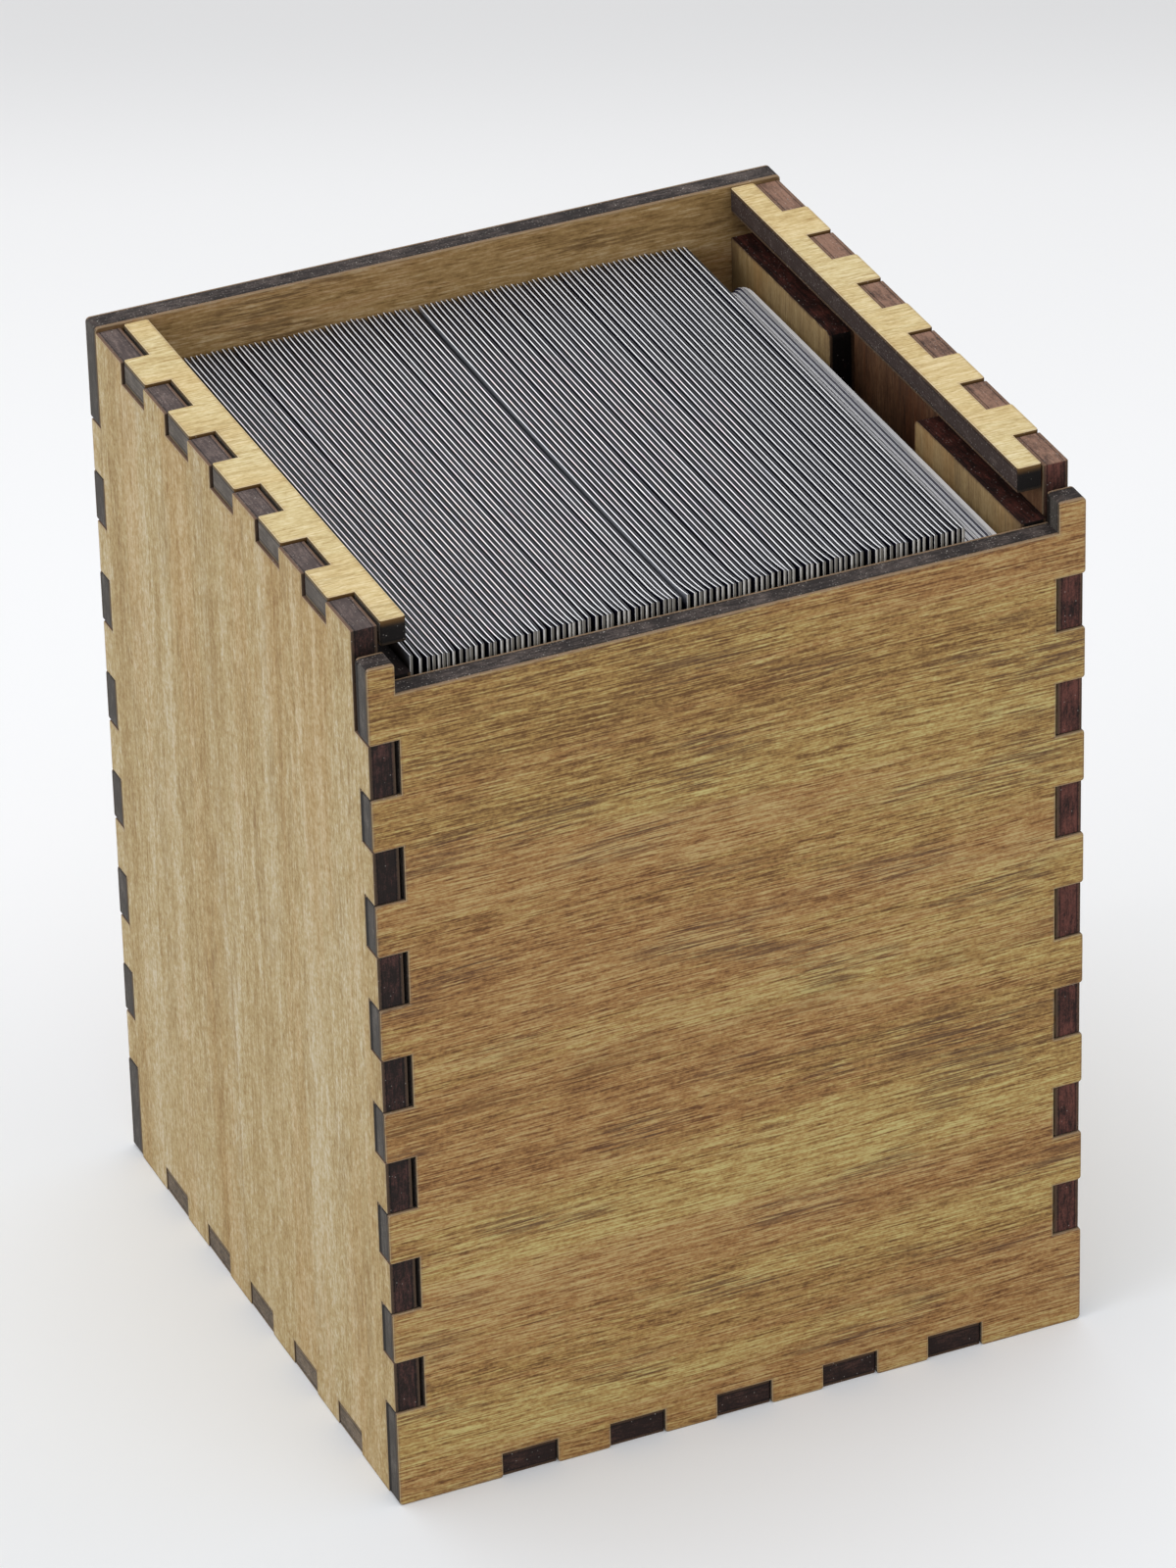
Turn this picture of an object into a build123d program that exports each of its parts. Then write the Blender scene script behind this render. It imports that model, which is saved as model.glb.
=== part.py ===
from build123d import *
import os

# Card box cut from plywood, joined by fingers, with a groove for a sliding lid, filled with cards.
# Millimetres. Origin at the centre of the underside, +X right, +Y back, +Z up.

# The plywood and how its joints are cut
ply = 2.8                  # thickness of every wooden piece
finger = 6.0               # width of a finger and of the slot beside it
finger_play = 0.1          # a slot is this much wider than the finger in it
slot_end_gap = 0.1         # a slot is this much deeper than the finger in it
slot_side_gap = 0.2        # a slot for a side's tab is this much deeper than the tab is thick
finger_proud = 0.2         # front and back fingers stand this far out of the right side's face
left_side_out = 0.2        # the left side stands this much further out, as far as its slots let it
tab_recess = 0.2           # the sides' tabs end this far inside the front and back faces
bottom_recess = 0.3        # the bottom's tabs end this far inside the front, back and right faces
bottom_left_recess = 0.1   # and this far inside the left side's face
rail_recess = 0.1          # the rails' tabs end this far inside the right side's face, left ones to match
sanded_corner = 0.5        # radius of the sanded corners of the front and back

# The cards that the box holds
card_width = 63.5
card_height = 88.9
card_thickness = 0.3
card_corner = 3.0          # radius of a card's corners
card_air = 0.01            # between two bare cards
sleeve_extra_width = 3.5   # a sleeve is this much wider than its card
sleeve_extra_height = 3.9
sleeved_thickness = 0.5    # a card in its sleeve
sleeved_air = 0.1          # between two sleeved cards
left_bundles = 4
left_bundle_cards = 12
right_bundles = 5
right_bundle_cards = 10
bare_cards_count = 16

# Room around the cards
left_room = 0.3            # between the left inner wall and the first card
deck_gap = 0.9             # between the two sleeved decks
bare_gap = 0.05            # between the right deck and the bare cards
right_room = 0.39          # between the last card and the right inner wall
sleeve_front_room = 0.9
sleeve_back_room = 0.5
bare_front_room = 1.6
sleeve_rise = 0.6          # the sleeves stand this far above the ledge

# The groove for the lid
groove_height = 3.0        # from the ledge to the rails' underside
back_above_rail = 0.2      # the back stands this far above the rails
side_below_rail = 0.3      # the side panels' top fingers end this far below the rails' tops
front_relief = 0.8         # rails and side tops stop this far behind the front panel
front_drop = 0.4           # between its ears the front is cut this far below the ledge

# The notch in each inner wall for a fingertip
notch_width = 20.0
notch_depth = 23.0
notch_corner = 0.8

# Worked out from the sizes above
sleeve_width = card_width + sleeve_extra_width
sleeve_height = card_height + sleeve_extra_height
sleeved_pitch = sleeved_thickness + sleeved_air
card_pitch = card_thickness + card_air
left_bundle_length = left_bundle_cards * sleeved_pitch
right_bundle_length = right_bundle_cards * sleeved_pitch
left_deck_length = left_bundles * left_bundle_length
right_deck_length = right_bundles * right_bundle_length
bare_length = bare_cards_count * card_pitch

cell_width = (left_room + left_deck_length + deck_gap + right_deck_length
              + bare_gap + bare_length + right_room)
cell_depth = sleeve_front_room + sleeve_width + sleeve_back_room
side_inner_x = cell_width / 2 + ply
side_outer_x = side_inner_x + ply
half_width = side_outer_x + finger_proud
half_depth = cell_depth / 2 + ply

ledge_z = ply + sleeve_height - sleeve_rise
rail_z = ledge_z + groove_height
rail_top_z = rail_z + ply
side_top_z = rail_top_z - side_below_rail
back_top_z = rail_top_z + back_above_rail

# Where the fingers stand: an even pattern in the middle of each edge
finger_pitch = 2 * finger
tabs_across = int(2 * side_inner_x // finger_pitch)
tabs_deep = int(cell_depth // finger_pitch)
tabs_high = int((rail_z - ply) // finger_pitch)
tabs_mid_z = (ply + rail_z) / 2
tabs_top_z = tabs_mid_z + tabs_high * finger - finger / 2

os.makedirs("parts", exist_ok=True)


def finish(piece, name):
    """Label a finished piece and write it to its own file."""
    piece.part.label = name
    export_step(piece.part, f"parts/{name}.step")


def end_panel(name, y, top_z, inset):
    """The front or back: fingers at both sides, slots for the bottom, extruded along +Y from y."""
    slot_depth = ply + finger_proud + slot_side_gap
    with BuildPart() as panel:
        with BuildSketch(Plane.XZ.offset(-y)):
            with Locations((0, top_z / 2)):
                Rectangle(2 * half_width, top_z)
            fillet(vertices(), sanded_corner)
            with Locations((-half_width, tabs_mid_z), (half_width, tabs_mid_z)):
                with GridLocations(0, finger_pitch, 1, tabs_high):
                    Rectangle(2 * slot_depth, finger + finger_play, mode=Mode.SUBTRACT)
            with GridLocations(finger_pitch, 0, tabs_across, 1):
                Rectangle(finger + finger_play, 2 * (ply + slot_end_gap), mode=Mode.SUBTRACT)
            if inset:
                with Locations((0, top_z)):
                    Rectangle(2 * side_inner_x, 2 * inset, mode=Mode.SUBTRACT)
        extrude(amount=-ply)
    finish(panel, name)


def side_panel(name, outer_x):
    """A side: tabs to the front and back, slots for the bottom, fingers between the rail's tabs."""
    tab_length = ply - tab_recess
    with BuildPart() as panel:
        with BuildSketch(Plane.YZ.offset(outer_x)):
            with Locations((0, side_top_z / 2)):
                Rectangle(cell_depth, side_top_z)
            with Locations((-cell_depth / 2, tabs_mid_z), (cell_depth / 2, tabs_mid_z)):
                with GridLocations(0, finger_pitch, 1, tabs_high):
                    Rectangle(2 * tab_length, finger)
            with GridLocations(finger_pitch, 0, tabs_deep, 1):
                Rectangle(finger + finger_play, 2 * (ply + slot_end_gap), mode=Mode.SUBTRACT)
            with Locations((0, side_top_z)):
                with GridLocations(finger_pitch, 0, tabs_deep, 1):
                    Rectangle(finger + finger_play, 2 * (side_top_z - rail_z), mode=Mode.SUBTRACT)
            with Locations((-cell_depth / 2, side_top_z)):
                Rectangle(2 * front_relief, 2 * (side_top_z - tabs_top_z), mode=Mode.SUBTRACT)
        extrude(amount=ply if outer_x < 0 else -ply)
    finish(panel, name)


def bottom_panel():
    """The bottom: tabs on all four edges."""
    with BuildPart() as panel:
        with BuildSketch():
            Rectangle(2 * side_inner_x, cell_depth)
            with Locations((0, -cell_depth / 2), (0, cell_depth / 2)):
                with GridLocations(finger_pitch, 0, tabs_across, 1):
                    Rectangle(finger, 2 * (ply - bottom_recess))
            left_reach = ply + left_side_out - bottom_left_recess
            for side, reach in ((-1, left_reach), (1, ply - bottom_recess)):
                with Locations((side * side_inner_x, 0)):
                    with GridLocations(0, finger_pitch, 1, tabs_deep):
                        Rectangle(2 * reach, finger)
        extrude(amount=ply)
    finish(panel, "bottom_panel")


def inner_wall(name, inner_x):
    """A liner inside a side: its top edge is the ledge, with a round-bottomed notch in the middle."""
    radius = notch_width / 2
    with BuildPart() as wall:
        with BuildSketch(Plane.YZ.offset(inner_x)):
            with Locations((0, (ply + ledge_z) / 2)):
                Rectangle(cell_depth, ledge_z - ply)
            with Locations((0, ledge_z)):
                Rectangle(notch_width, 2 * (notch_depth - radius), mode=Mode.SUBTRACT)
            top_corners = vertices().sort_by(Axis.Y)[-4:]
            fillet(top_corners.sort_by(Axis.X)[1:3], notch_corner)
            with Locations((0, ledge_z - notch_depth + radius)):
                Circle(radius, mode=Mode.SUBTRACT)
        extrude(amount=-ply if inner_x < 0 else ply)
    finish(wall, name)


def lid_rail(name, side):
    """A rail over the lid's groove: five tabs reach out between the side panel's top fingers."""
    body_width = side_inner_x - slot_end_gap - cell_width / 2
    tab_end_x = side_outer_x - rail_recess
    tab_start_x = cell_width / 2 + body_width / 2
    length = cell_depth - front_relief
    with BuildPart() as rail:
        with BuildSketch(Plane.XY.offset(rail_z)):
            with Locations((side * (cell_width + body_width) / 2, front_relief / 2)):
                Rectangle(body_width, length)
            with Locations((side * (tab_start_x + tab_end_x) / 2, 0)):
                with GridLocations(0, finger_pitch, 1, tabs_deep):
                    Rectangle(tab_end_x - tab_start_x, finger)
        extrude(amount=ply)
    finish(rail, name)


def cards(name, start_x, count, pitch, size, front_y, corner=0):
    """A row of upright cards, each its own solid, from start_x towards +X. A sleeve has square corners."""
    thickness, width, height = size
    first = (start_x + thickness / 2, front_y + width / 2, ply + height / 2)
    with BuildPart() as row:
        with Locations([(first[0] + index * pitch, first[1], first[2]) for index in range(count)]):
            Box(thickness, width, height)
        if corner:
            fillet(row.edges().filter_by(Axis.X), corner)
    finish(row, name)


end_panel("front_panel", -half_depth, rail_z, rail_z - ledge_z + front_drop)
end_panel("back_panel", half_depth - ply, back_top_z, 0)
side_panel("left_side_panel", -side_outer_x - left_side_out)
side_panel("right_side_panel", side_outer_x)
bottom_panel()
inner_wall("left_inner_wall", -cell_width / 2)
inner_wall("right_inner_wall", cell_width / 2)
lid_rail("left_lid_rail", -1)
lid_rail("right_lid_rail", 1)

sleeved_size = (sleeved_thickness, sleeve_width, sleeve_height)
sleeve_front_y = -cell_depth / 2 + sleeve_front_room
left_deck_x = -cell_width / 2 + left_room
for bundle in range(left_bundles):
    cards(f"left_deck_cards_{bundle + 1}", left_deck_x + bundle * left_bundle_length,
          left_bundle_cards, sleeved_pitch, sleeved_size, sleeve_front_y)

right_deck_x = left_deck_x + left_deck_length + deck_gap
for bundle in range(right_bundles):
    cards(f"right_deck_cards_{bundle + 1}", right_deck_x + bundle * right_bundle_length,
          right_bundle_cards, sleeved_pitch, sleeved_size, sleeve_front_y)

cards("bare_cards", right_deck_x + right_deck_length + bare_gap, bare_cards_count, card_pitch,
      (card_thickness, card_width, card_height), -cell_depth / 2 + bare_front_room, card_corner)

print("outside", 2 * half_width, 2 * half_depth, back_top_z)
print("between the inner walls", cell_width, cell_depth, ledge_z - ply)
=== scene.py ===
# %% [markdown]
# # A plywood card box, dressed for its picture
#
# The box is cut from thin plywood with a laser and glued at its finger joints. Two rails above a
# ledge make the groove for a sliding lid, and the box is full of cards that stand on edge: two
# decks in plastic sleeves and a few bare cards at the right-hand end.
#
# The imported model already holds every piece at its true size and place. This lesson gives each
# piece the surface that the real one has: veneer with its grain, edges charred by the laser, arrises
# rubbed by sandpaper, open plastic sleeves and paper edges. Nothing is moved or resized.

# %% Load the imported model
import math
import random

import bmesh
import bpy
from mathutils import Matrix, Vector, noise


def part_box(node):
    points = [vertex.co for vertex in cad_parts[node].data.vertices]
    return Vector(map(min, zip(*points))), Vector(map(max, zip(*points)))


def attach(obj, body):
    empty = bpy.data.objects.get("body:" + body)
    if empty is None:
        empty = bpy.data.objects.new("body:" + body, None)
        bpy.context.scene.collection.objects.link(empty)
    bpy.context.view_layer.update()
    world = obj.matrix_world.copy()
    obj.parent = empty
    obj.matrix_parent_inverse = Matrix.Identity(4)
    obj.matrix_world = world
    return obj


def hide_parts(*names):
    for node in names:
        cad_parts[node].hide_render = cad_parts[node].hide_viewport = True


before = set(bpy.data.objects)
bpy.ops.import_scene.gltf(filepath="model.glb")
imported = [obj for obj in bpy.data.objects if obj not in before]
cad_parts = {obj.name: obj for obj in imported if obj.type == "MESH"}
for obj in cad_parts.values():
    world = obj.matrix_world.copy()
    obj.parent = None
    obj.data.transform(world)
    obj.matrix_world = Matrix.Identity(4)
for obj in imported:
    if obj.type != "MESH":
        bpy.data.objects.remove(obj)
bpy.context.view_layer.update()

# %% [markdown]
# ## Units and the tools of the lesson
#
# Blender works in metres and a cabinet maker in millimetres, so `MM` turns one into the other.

MM = 0.001

# %% [markdown]
# ## The camera
#
# A long lens from the front left, looking down at about thirty degrees, shows the left side, the
# front and the tops of the cards, with almost no perspective. A camera in Blender looks along its own
# -Z axis with +X to the right of the picture. So its rotation is written as three directions: to the
# right, upwards, and back towards the viewer. The length of the lens follows from its focal length in
# pixels, because Blender measures the long side of the picture against the sensor's width.

# %% Set up the camera
PICTURE_HEIGHT = 1600
FOCAL_PIXELS = 8907.8
camera_place = Vector((-302.71, -707.51, 518.06)) * MM
looking = Vector((0.33721, 0.78780, -0.51542)).normalized()
rightwards = Vector((0.91367, -0.40583, -0.02253)).normalized()
upwards = rightwards.cross(looking)

camera = bpy.data.objects.new("camera", bpy.data.cameras.new("camera"))
bpy.context.scene.collection.objects.link(camera)
camera.data.sensor_width = 36.0
camera.data.lens = FOCAL_PIXELS * camera.data.sensor_width / PICTURE_HEIGHT
camera.data.clip_start, camera.data.clip_end = 0.05, 20.0
axes = Matrix((rightwards, upwards, -looking)).transposed()
camera.matrix_world = Matrix.Translation(camera_place) @ axes.to_4x4()
bpy.context.scene.camera = camera
print("lens", round(camera.data.lens, 1), "mm")

# %% [markdown]
# ## Joining shader nodes with few words
#
# A material is a tree of nodes. Four small helpers keep the trees readable. `put` links an input to
# another node's output, or sets its plain value. `add` makes a node and fills its inputs. `math_node`
# and `mix_colours` return the output of the two nodes that are used most.

# %% Helpers for shader nodes
def put(socket, value):
    """Link an input to an output, or set its plain value."""
    if isinstance(value, bpy.types.NodeSocket):
        socket.id_data.links.new(value, socket)
    else:
        socket.default_value = value


def add(tree, kind, inputs=None, **settings):
    """A new node of that kind, with its settings and its inputs filled."""
    node = tree.nodes.new("ShaderNode" + kind)
    for name, value in settings.items():
        setattr(node, name, value)
    for name, value in (inputs or {}).items():
        put(node.inputs[name], value)
    return node


def math_node(tree, operation, *values):
    """The result of one sum, product, power or other operation."""
    return add(tree, "Math", dict(enumerate(values)), operation=operation).outputs[0]


def mix_colours(tree, factor, first, second, way="MIX"):
    """Two colours mixed by a factor from 0 to 1."""
    node = add(tree, "Mix", data_type="RGBA", blend_type=way)
    for index, value in ((0, factor), (6, first), (7, second)):
        put(node.inputs[index], value)
    return node.outputs[2]


# %% [markdown]
# Nearly every surface is made with the same few moves, and each gets a name. `cloud` is soft noise of
# a given size, and a size that differs from axis to axis stretches it into fibres or streaks. `ramp`
# turns a value into a mask with soft edges. `tint` lets another colour through where a mask says so,
# and `nudged` lets noise push a value up or down, which makes a straight edge ragged.

# %% The moves that most surfaces share
def axes_of(tree, place):
    """The three coordinates of a place, each as a value."""
    return add(tree, "SeparateXYZ", {0: place}).outputs


def stretched(tree, place, size):
    """A place in millimetres divided by the size of the pattern along each axis."""
    return add(tree, "VectorMath", {0: place, 1: size}, operation="DIVIDE").outputs[0]


def cloud(tree, place, size, seed, detail=2.0, roughness=0.5):
    """Soft noise from 0 to 1, as large as its size says. A seed changes it."""
    inputs = {"Vector": stretched(tree, place, size), "W": seed, "Scale": 1.0, "Detail": detail,
              "Roughness": roughness}
    return add(tree, "TexNoise", inputs, noise_dimensions="4D").outputs[0]


def ramp(tree, value, start, end):
    """0 below start, 1 above end and a smooth rise between, or a fall where end is below start."""
    inputs = {"Value": value, "From Min": start, "From Max": end}
    return add(tree, "MapRange", inputs, interpolation_type="SMOOTHSTEP").outputs["Result"]


def tint(tree, colour, mask, amount, other):
    """A colour with another one mixed in where a mask says so, by an amount from 0 to 1."""
    return mix_colours(tree, math_node(tree, "MULTIPLY", mask, amount), colour, other)


def nudged(tree, value, soft_noise, amount):
    """A value pushed up or down by noise, by half the amount at most."""
    swing = math_node(tree, "SUBTRACT", soft_noise, 0.5)
    return math_node(tree, "MULTIPLY_ADD", swing, amount, value)


# %% [markdown]
# ## Groups: an effect that several materials share
#
# Veneer, charred edges, rubbed arrises and specks turn up on many pieces with other colours. Each
# becomes a shader group with named inputs and outputs, so that one mend reaches every material.
# `new_group` makes the group and its sockets and hands back its two ends.

# %% A helper that starts a group
SOCKETS = {"vector": "NodeSocketVector", "value": "NodeSocketFloat", "colour": "NodeSocketColor"}


def new_group(name, takes, gives):
    """An empty group: its tree, what it takes and what it gives, by name. The names of the sockets
    are listed under their kind."""
    tree = bpy.data.node_groups.new(name, "ShaderNodeTree")
    for in_out, kinds in (("INPUT", takes), ("OUTPUT", gives)):
        for kind, names in kinds.items():
            for socket_name in names.split(", "):
                tree.interface.new_socket(socket_name, in_out=in_out, socket_type=SOCKETS[kind])
    start = tree.nodes.new("NodeGroupInput")
    end = tree.nodes.new("NodeGroupOutput")
    print("group", name, "takes", takes, "gives", gives)
    return tree, start.outputs, end.inputs


def use_group(tree, group, inputs):
    """Place a group in a material and fill its inputs."""
    return add(tree, "Group", inputs, node_tree=group).outputs


# %% [markdown]
# ## Wood grain
#
# Veneer is read at several sizes at once: fibres a fifth of a millimetre wide, short dashes among
# them where pores were cut open, strands a few times longer, soft mottling, wide bands where the
# growth rings were sliced flat, and fine grit where the sanded surface drank the stain unevenly.
# Each is one layer of noise, stretched along the grain by its own length and width. Two slower layers
# mark redder zones, and patches where the wood took more stain.
#
# An image texture would repeat and blur close up. Noise does neither, and a seed makes another sheet.

# %% Start the wood grain group
grain_group, takes, gives = new_group(
    "Wood grain",
    {"vector": "Place", "colour": "Pale, Middle, Dark, Zone, Patch",
     "value": "Seed, Fibre Length, Fibre Width, Band Width, Fibres, Dashes, Strands, Mottle, Bands, "
              "Grit, Patches"},
    {"colour": "Color", "value": "Height"})
tree = grain_group

# %% [markdown]
# The grain never runs quite straight, so slow noise first pushes the place itself across the grain.
# Dashes, strands and mottle are measured in fibres, and so they keep their proportions on every
# veneer. The other layers have sizes in millimetres. Each layer adds a number of its own to the seed.

# %% Lay out the layers of the grain
ALONG, ACROSS, THROUGH = range(3)      # the axes of the place that a group takes, seen by the grain
WANDER_SIZE = (40.0, 16.0, 60.0)
WANDER = 1.5                           # mm between the furthest strays to either side
DASH_SIZE = (0.33, 1.1, 1.0)           # in fibres, like the next two
STRAND_SIZE = (3.5, 2.4, 1.0)
MOTTLE_SIZE = (0.8, 4.5, 1.0)
BAND_LENGTH, BAND_DEPTH = 90.0, 40.0   # in millimetres, like the rest
GRIT_SIZE = (0.45, 0.30, 0.45)
ZONE_SIZE = (90.0, 9.0, 50.0)
PATCH_SIZE = (15.0, 4.5, 40.0)


def layer(place, size, offset, roughness=0.6):
    """One layer of the grain, with a seed of its own."""
    return cloud(tree, place, size, math_node(tree, "ADD", takes["Seed"], offset), roughness=roughness)


axis = axes_of(tree, takes["Place"])
stray = cloud(tree, takes["Place"], WANDER_SIZE, takes["Seed"])
wandered = add(tree, "CombineXYZ", {0: axis[ALONG], 1: nudged(tree, axis[ACROSS], stray, WANDER),
                                    2: axis[THROUGH]}).outputs[0]
fibre_size = add(tree, "CombineXYZ", {0: takes["Fibre Length"], 1: takes["Fibre Width"],
                                      2: 1.0}).outputs[0]
band_size = add(tree, "CombineXYZ", {0: BAND_LENGTH, 1: takes["Band Width"],
                                     2: BAND_DEPTH}).outputs[0]
in_fibres = stretched(tree, wandered, fibre_size)

fibres = layer(wandered, fibre_size, 3.1, 0.7)
dashes = layer(in_fibres, DASH_SIZE, 41.9)
strands = layer(in_fibres, STRAND_SIZE, 7.7)
mottle = layer(in_fibres, MOTTLE_SIZE, 13.1)
bands = layer(wandered, band_size, 19.3, 0.5)
grit = layer(takes["Place"], GRIT_SIZE, 23.9)
zones = layer(wandered, ZONE_SIZE, 29.9, 0.5)
patches = layer(wandered, PATCH_SIZE, 37.3, 0.5)
print("noise textures in the grain", [node.type for node in tree.nodes].count("TEX_NOISE"))

# %% [markdown]
# The layers are simply added. The sum, `tone`, picks a colour between dark, middle and pale. The
# zones then redden it, with an edge that the strands make ragged. Dark strokes are where both fibres
# and strands are low, and they show only within the patches.

# %% Turn the layers into colour and height
ZONE_EDGE = (0.42, 0.62)               # the noise where a zone begins, and where it is full
ZONE_FEATHER = 0.5                     # how far the strands push that edge
PATCH_EDGE = (0.50, 0.68)
STROKE_EDGE = (0.86, 0.70)
tone = 0.5
for noise_layer, amount in ((fibres, "Fibres"), (dashes, "Dashes"), (strands, "Strands"),
                            (mottle, "Mottle"), (bands, "Bands"), (grit, "Grit")):
    tone = nudged(tree, tone, noise_layer, takes[amount])
paler = add(tree, "MapRange", {"Value": tone, "From Min": 0.5, "From Max": 1.0}).outputs["Result"]
darker = add(tree, "MapRange", {"Value": tone, "From Min": 0.5, "From Max": 0.0}).outputs["Result"]
colour = mix_colours(tree, paler, takes["Middle"], takes["Pale"])
colour = mix_colours(tree, darker, colour, takes["Dark"])

feathered = nudged(tree, zones, strands, ZONE_FEATHER)
zoned = mix_colours(tree, 1.0, colour, takes["Zone"], "MULTIPLY")
colour = mix_colours(tree, ramp(tree, feathered, *ZONE_EDGE), colour, zoned)

low_fibres = ramp(tree, math_node(tree, "MULTIPLY_ADD", strands, 0.6, fibres), *STROKE_EDGE)
stroke = math_node(tree, "MULTIPLY", ramp(tree, patches, *PATCH_EDGE), low_fibres)
stroke = math_node(tree, "MULTIPLY", stroke, takes["Patches"])
put(gives["Color"], mix_colours(tree, stroke, colour, takes["Patch"]))
put(gives["Height"], math_node(tree, "SUBTRACT", tone, stroke))

# %% [markdown]
# ## Growth line
#
# Here and there the knife crossed a growth ring. It left one thin dark line that runs with the grain,
# not quite straight, with a faint shade along one side of it. The group measures how far a point
# lies from a wavy line. `Across` is where the line starts and `Rise` is how far it climbs over a
# hundred millimetres.

# %% Build the growth line group
growth_group, takes, gives = new_group(
    "Growth line", {"vector": "Place", "value": "Across, Rise, Waviness, Seed"},
    {"value": "Line, Shade"})
tree = growth_group
LINE_WAVE_SIZE = (22.0, 400.0, 400.0)
LINE_BREAK_SIZE = (7.0, 7.0, 7.0)      # of the stretches where the line fades away
LINE_EDGE = (0.26, 0.05)               # mm from the middle: nothing of the line, and all of it
SHADE_REACH = 4.0                      # mm to one side
axis = axes_of(tree, takes["Place"])
wave = cloud(tree, takes["Place"], LINE_WAVE_SIZE, takes["Seed"], detail=3.0, roughness=0.45)
centre = nudged(tree, takes["Across"], wave, takes["Waviness"])
slope = math_node(tree, "MULTIPLY", takes["Rise"], 0.01)
centre = math_node(tree, "MULTIPLY_ADD", axis[ALONG], slope, centre)
beside = math_node(tree, "SUBTRACT", axis[ACROSS], centre)
broken = cloud(tree, takes["Place"], LINE_BREAK_SIZE, takes["Seed"], detail=3.0, roughness=0.6)
line = ramp(tree, math_node(tree, "ABSOLUTE", beside), *LINE_EDGE)
put(gives["Line"], math_node(tree, "MULTIPLY", line, ramp(tree, broken, 0.36, 0.60)))
one_side = ramp(tree, beside, -0.15, 0.15)
shade = math_node(tree, "MULTIPLY", ramp(tree, beside, SHADE_REACH, 0.0), one_side)
put(gives["Shade"], math_node(tree, "MULTIPLY", shade, ramp(tree, broken, 0.30, 0.70)))

# %% [markdown]
# ## Charred edge
#
# A laser burns its way through, so every cut edge is sooty: nearly black in the glue lines, brown and
# cloudy where the wood shows through the core, and lightest in the thin outer veneers. The streaks
# follow the plies. The group therefore takes `Depth`, which runs from -1 at one face of the sheet to
# 1 at the other, and lets its noise change quickly with depth and slowly along the edge.

# %% Build the charred edge group
char_group, takes, gives = new_group(
    "Charred edge",
    {"vector": "Place", "value": "Depth, Seed, Brown Share", "colour": "Soot, Brown, Veneer"},
    {"colour": "Color", "value": "Height"})
tree = char_group
BROWN_CLOUD_SIZE = (3.0, 3.0, 3.0)
STREAK_SIZE = (1.6, 1.6, 1.6)
CHAR_GRIT_SIZE = (0.18, 0.18, 0.18)
PLY_CHANGE = 5.0                       # how much the streaks change from the middle to a face
BROWN_FROM = 1.35                      # the noise above which brown shows, less the brown share
BROWN_EDGE = (-0.20, 0.35)
streak_seed = math_node(tree, "MULTIPLY_ADD", takes["Depth"], PLY_CHANGE, takes["Seed"])
clouds = cloud(tree, takes["Place"], BROWN_CLOUD_SIZE, takes["Seed"], detail=3.0, roughness=0.6)
streaks = cloud(tree, takes["Place"], STREAK_SIZE, streak_seed, roughness=0.6)
grit = cloud(tree, takes["Place"], CHAR_GRIT_SIZE, streak_seed)
burn = math_node(tree, "MULTIPLY_ADD", streaks, 0.7, math_node(tree, "MULTIPLY", clouds, 0.8))
burn = math_node(tree, "MULTIPLY_ADD", grit, 0.5, burn)
threshold = math_node(tree, "SUBTRACT", BROWN_FROM, takes["Brown Share"])
lit = ramp(tree, math_node(tree, "SUBTRACT", burn, threshold), *BROWN_EDGE)
colour = mix_colours(tree, lit, takes["Soot"], takes["Brown"])

# %% [markdown]
# The outer veneers and the glue under them lie at the same depth all along an edge. Their borders
# are only a little ragged, by as much as the grit of the soot.

# %% Add the outer veneers and the glue lines
GLUE_DEPTH = 0.68                      # where the glue lies under each outer veneer
VENEER_FULL = 0.90                     # the depth from which the veneer shows fully
RAGGED_BY = 0.12
GLUE_HALF = (0.02, 0.07)               # a glue line's half width: its dark part and its soft edge
GLUE_BLACK = (0.006, 0.005, 0.005, 1.0)
ragged = nudged(tree, math_node(tree, "ABSOLUTE", takes["Depth"]), grit, RAGGED_BY)
colour = tint(tree, colour, ramp(tree, ragged, GLUE_DEPTH, VENEER_FULL), 0.85, takes["Veneer"])
from_glue = math_node(tree, "ABSOLUTE", math_node(tree, "SUBTRACT", ragged, GLUE_DEPTH))
glue = math_node(tree, "SUBTRACT", 1.0, ramp(tree, from_glue, *GLUE_HALF))
put(gives["Color"], tint(tree, colour, glue, 0.65, GLUE_BLACK))
put(gives["Height"], math_node(tree, "MULTIPLY_ADD", grit, 0.5, burn))

# %% [markdown]
# ## Rubbed arris and scorch
#
# Where veneer meets a cut edge, two things happen within a millimetre. The laser's heat tans the
# veneer beside the cut, and sandpaper later breaks the sharp arris and bares pale wood. The mesh
# carries both as attributes: `rim` falls from 1 at the cut to 0 inside, and `arris` is 1 on the
# broken edge only. This group breaks both up with noise, because neither is even.

# %% Build the arris group
arris_group, takes, gives = new_group(
    "Rubbed arris", {"vector": "Place", "value": "Rim, Arris, Seed"}, {"value": "Scorch, Rubbed"})
tree = arris_group
RUB_SIZE = (1.6, 1.6, 1.6)
SCORCH_FALL = 1.6                      # the power by which scorch fades away from the cut
patchy = cloud(tree, takes["Place"], RUB_SIZE, takes["Seed"], detail=3.0, roughness=0.6)
scorch = math_node(tree, "POWER", takes["Rim"], SCORCH_FALL)
put(gives["Scorch"], math_node(tree, "MULTIPLY", scorch, ramp(tree, patchy, 0.25, 0.60)))
put(gives["Rubbed"], math_node(tree, "MULTIPLY", takes["Arris"], ramp(tree, patchy, 0.30, 0.55)))
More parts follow.
